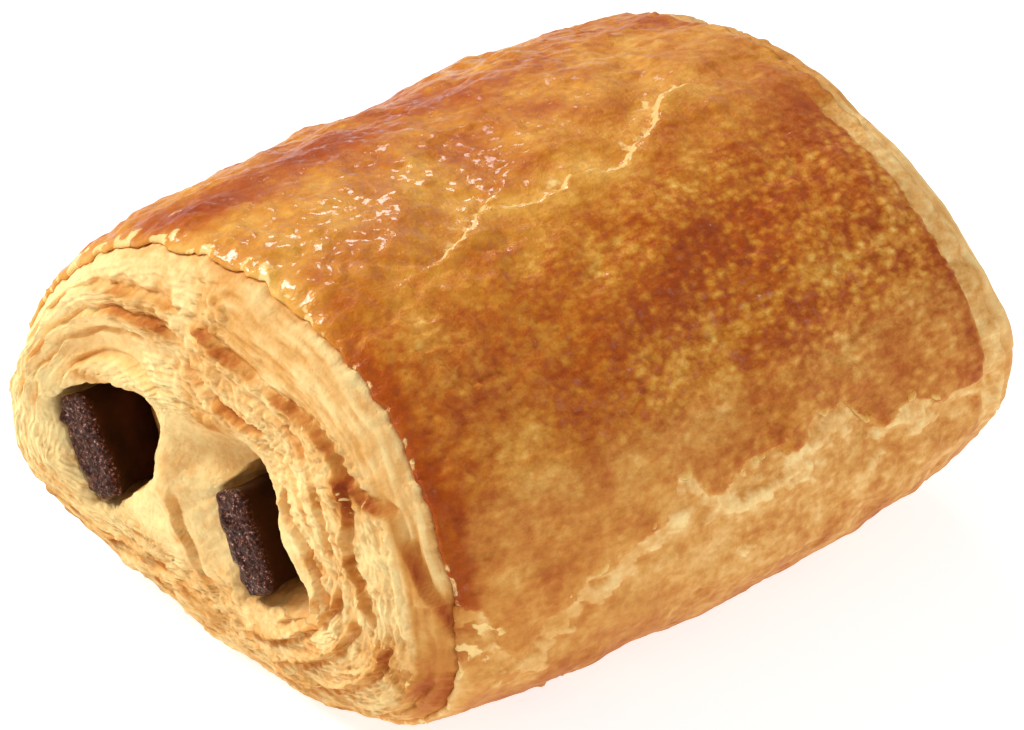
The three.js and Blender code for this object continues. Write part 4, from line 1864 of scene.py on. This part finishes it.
@dataclass(frozen=True)
class BakedDough:
    """The finish of the dough, from pale cream layers to a glossy dark crust.

    Args:
        name: the material's name.
        washed: colours of the washed crust, by how brown it is.
        plain: colours of the other layers, by how brown they are.
        cream: colour of thin broken edges.
        warm: tint of the dough's own shine.
    """

    name: str = "baked_dough"
    washed: Stops = (
        (0.00, (253, 222, 140)),
        (0.16, (243, 196, 106)),
        (0.30, (230, 168, 74)),
        (0.44, (214, 141, 48)),
        (0.56, (200, 119, 34)),
        (0.68, (186, 95, 24)),
        (0.82, (171, 75, 17)),
        (1.00, (158, 62, 14)),
    )
    plain: Stops = (
        (0.00, (254, 224, 156)),
        (0.14, (247, 209, 141)),
        (0.28, (235, 183, 112)),
        (0.42, (219, 158, 82)),
        (0.56, (202, 130, 60)),
        (0.72, (180, 98, 40)),
        (0.86, (154, 66, 26)),
        (1.00, (116, 42, 16)),
    )
    cream: Triple = (252, 218, 144)
    warm: Colour = (1.0, 0.70, 0.36, 1.0)

    def make(self) -> Material:
        """Build the material.

        Returns:
            The material.
        """
        g = NodeGraph(self.name)
        place = g.place()
        medium, small = g.noise(place, 2.8, 4.0, 0.6), g.noise(place, 1.0, 3.0, 0.6)
        bare = g.total(
            g.value("bare"), g.spread(medium, 0.3, 0.7, -0.2, 0.2), g.spread(small, 0.3, 0.7, -0.12, 0.12)
        )
        bare = g.spread(bare, 0.44, 0.56, 0.0, 1.0)
        toast, wash, lip, mottle = (g.value(name) for name in ("toast", "wash", "lip", "mottle"))
        streaks = g.noise(g.place((0.45, 1.0, 1.0)), 0.8, 3.0, 0.6)
        granules = g.spread(g.cells(g.place((0.8, 1.1, 1.1)), 1.3), 0.1, 0.62, -0.13, 0.10)
        spots = g.total(
            g.spread(medium, 0.36, 0.64, -0.10, 0.10),
            g.spread(small, 0.38, 0.62, -0.07, 0.07),
            g.spread(streaks, 0.38, 0.62, -0.06, 0.06),
            g.math("MULTIPLY", granules, mottle),
        )
        clouds = g.spread(g.noise(place, 8.0), 0.3, 0.7, -0.05, 0.05)
        level = g.total(toast, g.math("MULTIPLY", spots, mottle), clouds)
        level = g.math("MINIMUM", level, 0.98)
        unwashed = g.math("MAXIMUM", bare, g.math("SUBTRACT", 1.0, wash, clamp=True))
        colour = g.blend(unwashed, g.ramp(level, self.washed), g.ramp(level, self.plain))
        edge = g.total(lip, g.spread(small, 0.3, 0.7, -0.18, 0.18))
        edge = g.spread(edge, 0.55, 0.75, 0.0, 0.85)
        colour = g.blend(edge, colour, shown(self.cream))
        pores = g.spread(g.cells(place, 0.8), 0.0, 0.26, 0.80, 1.0)
        colour = g.blend(0.5, colour, g.blend(1.0, colour, pores, "MULTIPLY"))
        g.feed(g.shader.inputs["Base Color"], colour)
        shine = g.math("MULTIPLY", wash, g.math("SUBTRACT", 1.0, g.math("MULTIPLY", bare, 0.6)))
        uneven = g.total(shine, g.spread(small, 0.3, 0.7, -0.25, 0.25))
        g.feed(g.shader.inputs["Roughness"], g.spread(uneven, 0, 1, 0.64, 0.36))
        coat = g.math("MULTIPLY", shine, g.spread(small, 0.42, 0.60, 0.30, 1.0))
        g.feed(g.shader.inputs["Coat Weight"], g.spread(coat, 0.72, 1.3, 0.0, 0.9))
        g.steady(
            Specular_IOR_Level=0.3, Specular_Tint=self.warm, Coat_Roughness=0.07, Coat_IOR=1.5,
            Subsurface_Weight=0.08, Subsurface_Radius=(1.0, 0.5, 0.2), Subsurface_Scale=1.2 * MM,
        )
        g.feed(g.shader.inputs["Normal"], self.relief(g, place, bare))
        return g.material

    def relief(self, g: NodeGraph, place: Socket, bare: Socket) -> Socket:
        """The relief too fine for the mesh: grain, crinkles, the wash's edge and fine layers.

        Args:
            g: the material's nodes.
            place: Object coordinates in millimetres.
            bare: 1 where the washed layer is gone.

        Returns:
            The normal.
        """
        low = g.bump(g.noise(place, 1.3, 4.0, 0.6), 0.75, 0.4)
        crinkle = g.bump(g.noise(place, 0.42, 3.0, 0.6), 0.5, 0.16, low)
        ledge = g.bump(g.math("SUBTRACT", 1.0, bare), 0.6, 0.22, crinkle)
        lamina = g.math("SINE", g.math("MULTIPLY", g.value("lamina"), 2 * math.tau))
        return g.bump(g.spread(lamina, -1, 1, 0, 1), g.value("lined"), 0.14, ledge)


@dataclass(frozen=True)
class DarkChocolate:
    """The finish of the sticks: smooth dark sides, and rough porous ends whose pale speckles are partly a
    dull bloom and partly painted glints.

    Args:
        name: the material's name.
        sides: colours of the sides.
        ends: colours of the broken ends, the palest of them partly painted glints.
        warm: tint of the chocolate's shine.
    """

    name: str = "dark_chocolate"
    sides: Stops = ((0.3, (28, 11, 4)), (0.7, (54, 25, 9)))
    ends: Stops = (
        # the palest stop is partly bloom and partly painted glints
        (0.40, (26, 8, 5)), (0.50, (60, 27, 18)), (0.60, (110, 60, 45)), (0.72, (230, 196, 178)),
    )
    warm: Colour = (1.0, 0.72, 0.58, 1.0)

    def make(self) -> Material:
        """Build the material.

        Returns:
            The material.
        """
        g = NodeGraph(self.name)
        place = g.place()
        end = g.value("toast")
        speckle = g.noise(place, 0.42, 3.0, 0.75)
        side = g.ramp(g.noise(place, 3.0, 3.0), self.sides)
        g.feed(g.shader.inputs["Base Color"], g.blend(end, side, g.ramp(speckle, self.ends)))
        g.steady(Specular_IOR_Level=0.2, Specular_Tint=self.warm)
        g.feed(g.shader.inputs["Roughness"], g.spread(end, 0, 1, 0.5, 0.28))
        low = g.bump(g.cells(place, 0.8), g.spread(end, 0, 1, 0.0, 0.8), 0.4)
        g.feed(g.shader.inputs["Normal"], g.bump(speckle, g.spread(end, 0, 1, 0.1, 0.7), 0.25, low))
        return g.material


@dataclass(frozen=True)
class PaleFloor:
    """The finish of the floor, which glows a little so that only soft shadows show on it.

    Args:
        name: the material's name.
        base: its colour.
        glow: colour of its glow.
        strength: of its glow.
    """

    name: str = "pale_floor"
    base: Colour = (0.55, 0.56, 0.58, 1.0)
    glow: Colour = (1.0, 1.0, 1.0, 1.0)
    strength: float = 0.72

    def make(self) -> Material:
        """Build the material.

        Returns:
            The material.
        """
        g = NodeGraph(self.name)
        g.steady(Base_Color=self.base, Roughness=0.9, Specular_IOR_Level=0.1)
        g.steady(Emission_Color=self.glow, Emission_Strength=self.strength)
        return g.material


@dataclass
class Pastry:
    """The baked dough: crust, two coiled ends with their sleeves, and loose flakes.

    Args:
        form: the roll's form.
        stick: the form of the sticks that it is rolled round.
        front_mouths: the mouths in the front end.
        back_mouths: the mouths in the back end.
        front_rim: how much browner the front end is next to the crust, by degrees round it.
        back_rim: the same of the back end.
    """

    form: RollForm = field(default_factory=RollForm)
    stick: StickForm = field(default_factory=StickForm)
    front_mouths: tuple[Mouth, Mouth] = (
        Mouth(
            20.0, 20.6,
            profile(
                (0, 8.4), (16, 10.0), (26, 9.3), (45, 8.4), (68, 8.0), (94, 8.4), (122, 10.4),
                (141, 11.7), (155, 11.5), (166, 10.5), (175, 8.7), (194, 6.7), (226, 5.8),
                (255, 6.7), (270, 8.0), (287, 8.8), (302, 7.8), (333, 7.2), (356, 8.0), (360, 8.4),
            ),
        ),
        Mouth(
            -5.6, 20.0,
            profile(
                (0, 6.6), (12, 7.1), (26, 8.1), (42, 8.4), (63, 8.3), (86, 7.8), (104, 7.7),
                (116, 8.2), (125, 7.8), (135, 6.4), (148, 5.3), (165, 5.4), (180, 6.7), (190, 9.2),
                (198, 12.2), (205, 13.4), (213, 12.0), (228, 9.7), (242, 8.3), (267, 8.1),
                (281, 8.6), (299, 6.8), (340, 5.8), (360, 6.6),
            ),
        ),
    )
    back_mouths: tuple[Mouth, Mouth] = (
        Mouth(
            20.6, 21.0,
            profile(
                (0, 9.5), (40, 8.8), (90, 8.8), (140, 9.6), (180, 9.4), (230, 8.6), (285, 9.3),
                (320, 8.8), (360, 9.5),
            ),
        ),
        Mouth(
            -6.2, 20.0,
            profile(
                (0, 8.6), (24, 9.0), (60, 8.0), (110, 8.6), (150, 8.4), (200, 9.0), (250, 8.2),
                (285, 8.9), (320, 8.2), (360, 8.6),
            ),
        ),
    )
    front_rim: Profile = profile((0, 0.0), (180, 0.0), (210, 0.18), (250, 0.14), (280, 0.0))
    back_rim: Profile = profile((0, 0.1), (40, 0.25), (100, 0.22), (125, 0.08), (142, 0.0), (360, 0.1))

    def ends(self) -> tuple[EndFace, EndFace]:
        """Both end faces.

        Returns:
            The front one and the back one, which is out of the photo's sight and has fewer faces.
        """
        front = EndFace(
            self.form, EndName.FRONT, self.front_mouths, CoiledDough(self.front_rim), swell=4.2, flare=0.3,
            band_rows=20, coil_rows=84, core_rows=36, mouth_rows=14,
        )
        back = EndFace(
            self.form, EndName.BACK, self.back_mouths, CoiledDough(self.back_rim), swell=4.6, flare=1.5,
            band_rows=9, coil_rows=30, core_rows=10, mouth_rows=8,
        )
        return front, back

    def build(self, places: dict[Half, StickPlace], finish: Material) -> list[Piece]:
        """Build and dress the dough.

        Args:
            places: where the two sticks lie.
            finish: the dough's material.

        Returns:
            The finished pieces.
        """
        sleeves = Sleeves(self.stick, places)
        pieces = [CrustSheet(self.form).build(finish)]
        for end in self.ends():
            maker = MeshMaker()
            end.build(maker)
            sleeves.build(end, maker)
            name = f"coiled_end_{end.name.name.lower()}"
            pieces.append(dress(maker.finish(name), finish, "pastry"))
        pieces.append(Flakes(self.form).build(finish))
        return pieces


@dataclass
class ChocolateStick:
    """One chocolate stick, with smooth sides and rough porous ends.

    Args:
        half: the lobe that it is in.
        place: where it lies.
        form: its form.
        cap_rows: rows of faces on each end, from its middle to its edge.
        fuller: how much thicker it is by its ends than the plain bar.
        rounding: radius of the ends' edges.
    """

    half: Half
    place: StickPlace
    form: StickForm = field(default_factory=StickForm)
    around: int = 120
    cap_rows: int = 22
    side_rows: int = 60
    fuller: float = 0.5
    rounding: float = 0.9

    def spot(self, i: int, j: int) -> Spot:
        """A spot of the bar.

        Args:
            i: its number round the bar.
            j: its row, from the middle of the front end to that of the back end.

        Returns:
            The spot, in millimetres.
        """
        p, form = self.place, self.form
        rows = 2 * self.cap_rows + self.side_rows
        angle = (i % self.around + 0.5) / self.around * math.tau
        from_end = min(j, rows - j)
        front = j <= rows / 2
        if from_end <= self.cap_rows:
            t = from_end / self.cap_rows
            full_y, full_z = form.outline(p, angle, self.fuller - self.rounding)
            y, z = full_y * t, full_z * t
            depth = 0.0
            end = 1.0
        else:
            t = (from_end - self.cap_rows) / (self.side_rows / 2)
            depth = (form.length / 2) * t**1.6
            round_off = min(1.0, depth / self.rounding)
            grow = -self.rounding * (1 - math.sqrt(max(0.0, 1 - (1 - round_off) ** 2)))
            grow += 0.10 * grain(depth, 4 * math.cos(angle), 4 * math.sin(angle), 4.0, 2.0)
            grow = min(0.0, grow) + self.fuller * (1 - smooth(depth, 0.8, 4.0))
            y, z = form.outline(p, angle, grow)
            end = 1 - smooth(depth, 0.5, 1.3)
        pits = 0.5 * grain(p.y, y, z, 1.7, 3.0) + 0.3 * grain(p.y, y, z, 0.8, 4.0)
        depth += 0.2 + end * pits
        x = p.front + depth if front else p.front + form.length - depth
        return Spot(Vector((x, p.y + y, p.z + z)), end, 0.5)

    def build(self, finish: Material) -> Piece:
        """Build and dress the stick.

        Args:
            finish: the chocolate's material.

        Returns:
            The finished piece.
        """
        maker = MeshMaker()
        maker.sheet(self.around, 2 * self.cap_rows + self.side_rows, self.spot)
        piece = maker.finish(f"chocolate_{self.half.value}")
        return dress(piece, finish, f"chocolate_stick_{self.half.value}")


def direction(azimuth: float, elevation: float) -> Vector:
    """Unit vector from the object towards a viewer at an azimuth and elevation in degrees."""
    a, e = math.radians(azimuth), math.radians(elevation)
    return Vector((math.sin(a) * math.cos(e), -math.cos(a) * math.cos(e), math.sin(e)))


@dataclass(frozen=True)
class SoftLight:
    """A large soft lamp.

    Args:
        name: the lamp's name.
        azimuth: where it stands, in degrees, as the camera's azimuth is counted.
        elevation: how high it stands, in degrees.
        distance: in metres.
        size: width of the lamp in metres.
        power: in watts.
        colour: of its light.
    """

    name: str
    azimuth: float
    elevation: float
    distance: float
    size: float
    power: float
    colour: Triple = (1.0, 1.0, 1.0)

    def build(self) -> None:
        """Add the lamp, aimed at the pastry."""
        data = bpy.data.lights.new(self.name, "AREA")
        data.size = self.size
        data.energy = self.power
        data.color = self.colour
        lamp = bpy.data.objects.new(self.name, data)
        away = direction(self.azimuth, self.elevation)
        lamp.location = away * self.distance + Vector((0, 0, 0.025))
        lamp.rotation_euler = away.to_track_quat("Z", "Y").to_euler()
        bpy.context.scene.collection.objects.link(lamp)


@dataclass
class Studio:
    """The camera, a pale floor and soft light.

    Args:
        azimuth: of the camera, in degrees from -Y towards +X.
        elevation: of the camera, in degrees.
        distance: of the camera, in metres.
        target: the point that it faces.
        pixels_per_mm: scale of the picture.
        offset_px: how far the target is off the picture's middle.
        image_px: width and height of the picture.
        sensor: width of the camera's sensor, in millimetres.
        ambient: strength of the light from all around, and sky its colour.
    """

    azimuth: float = -43.1
    elevation: float = 32.1
    distance: float = 1.5
    target: Triple = (0.0, 0.0, 0.0253)
    pixels_per_mm: float = 8.531
    offset_px: Pair = (-8.3, -21.0)
    image_px: tuple[int, int] = (1024, 730)
    sensor: float = 36.0
    floor_size: float = 6.0
    ambient: float = 0.38
    sky: Colour = (1.0, 0.995, 0.985, 1.0)
    lights: tuple[SoftLight, ...] = (
        SoftLight("key", -148.0, 42.0, 1.0, 0.4, 8.6, (1.0, 0.985, 0.96)),
        SoftLight("back", 140.0, 40.0, 1.1, 0.24, 1.6, (1.0, 0.99, 0.97)),
        SoftLight("front", -85.0, 10.0, 1.2, 0.35, 1.1, (1.0, 0.99, 0.97)),
        SoftLight("side", 22.0, 28.0, 1.3, 1.0, 5.2, (1.0, 0.99, 0.97)),
    )

    def build(self, finish: Material) -> None:
        """Set up camera, floor, lights and world.

        Args:
            finish: the floor's material.
        """
        self.add_camera()
        self.add_floor(finish)
        for light in self.lights:
            light.build()
        world = bpy.data.worlds.new("studio")
        world.use_nodes = True
        background = world.node_tree.nodes["Background"]
        background.inputs["Color"].default_value = self.sky
        background.inputs["Strength"].default_value = self.ambient
        bpy.context.scene.world = world
        bpy.context.scene.view_settings.view_transform = "Standard"

    def add_camera(self) -> None:
        """Add the camera at the photo's angle."""
        data = bpy.data.cameras.new("camera")
        data.sensor_width = self.sensor
        data.lens = self.pixels_per_mm * self.distance / MM * self.sensor / self.image_px[0]
        data.clip_end = 20
        camera = bpy.data.objects.new("camera", data)
        back = direction(self.azimuth, self.elevation)
        a = math.radians(self.azimuth)
        right = Vector((math.cos(a), math.sin(a), 0))
        up = back.cross(right)
        shift = right * -self.offset_px[0] + up * self.offset_px[1]
        camera.location = Vector(self.target) + back * self.distance + shift / self.pixels_per_mm * MM
        camera.rotation_euler = back.to_track_quat("Z", "Y").to_euler()
        bpy.context.scene.collection.objects.link(camera)
        bpy.context.scene.camera = camera

    def add_floor(self, finish: Material) -> None:
        """Add the floor, level with the pastry's foot.

        Args:
            finish: its material.
        """
        bm = bmesh.new()
        bmesh.ops.create_grid(bm, x_segments=1, y_segments=1, size=self.floor_size / 2)
        mesh = bpy.data.meshes.new("floor")
        bm.to_mesh(mesh)
        bm.free()
        floor = bpy.data.objects.new("floor", mesh)
        mesh.materials.append(finish)
        bpy.context.scene.collection.objects.link(floor)


def report(piece: Piece) -> None:
    """Log a piece's name and number of triangles.

    Args:
        piece: the piece.
    """
    mesh = piece.data
    mesh.calc_loop_triangles()
    log.info("%s: %d triangles", piece.name, len(mesh.loop_triangles))


def main() -> None:
    """Build the studio, the pastry and its sticks."""
    logging.basicConfig(level=logging.INFO, format="%(message)s")
    Studio().build(PaleFloor().make())
    places = {
        Half.LEFT: StickPlace(23.6, 19.2, 58.0, -44.8),
        Half.RIGHT: StickPlace(-3.7, 18.9, 63.0, -45.2),
    }
    for piece in Pastry().build(places, BakedDough().make()):
        report(piece)
    chocolate = DarkChocolate().make()
    for half, place in places.items():
        report(ChocolateStick(half, place).build(chocolate))


if __name__ == "__main__":
    main()
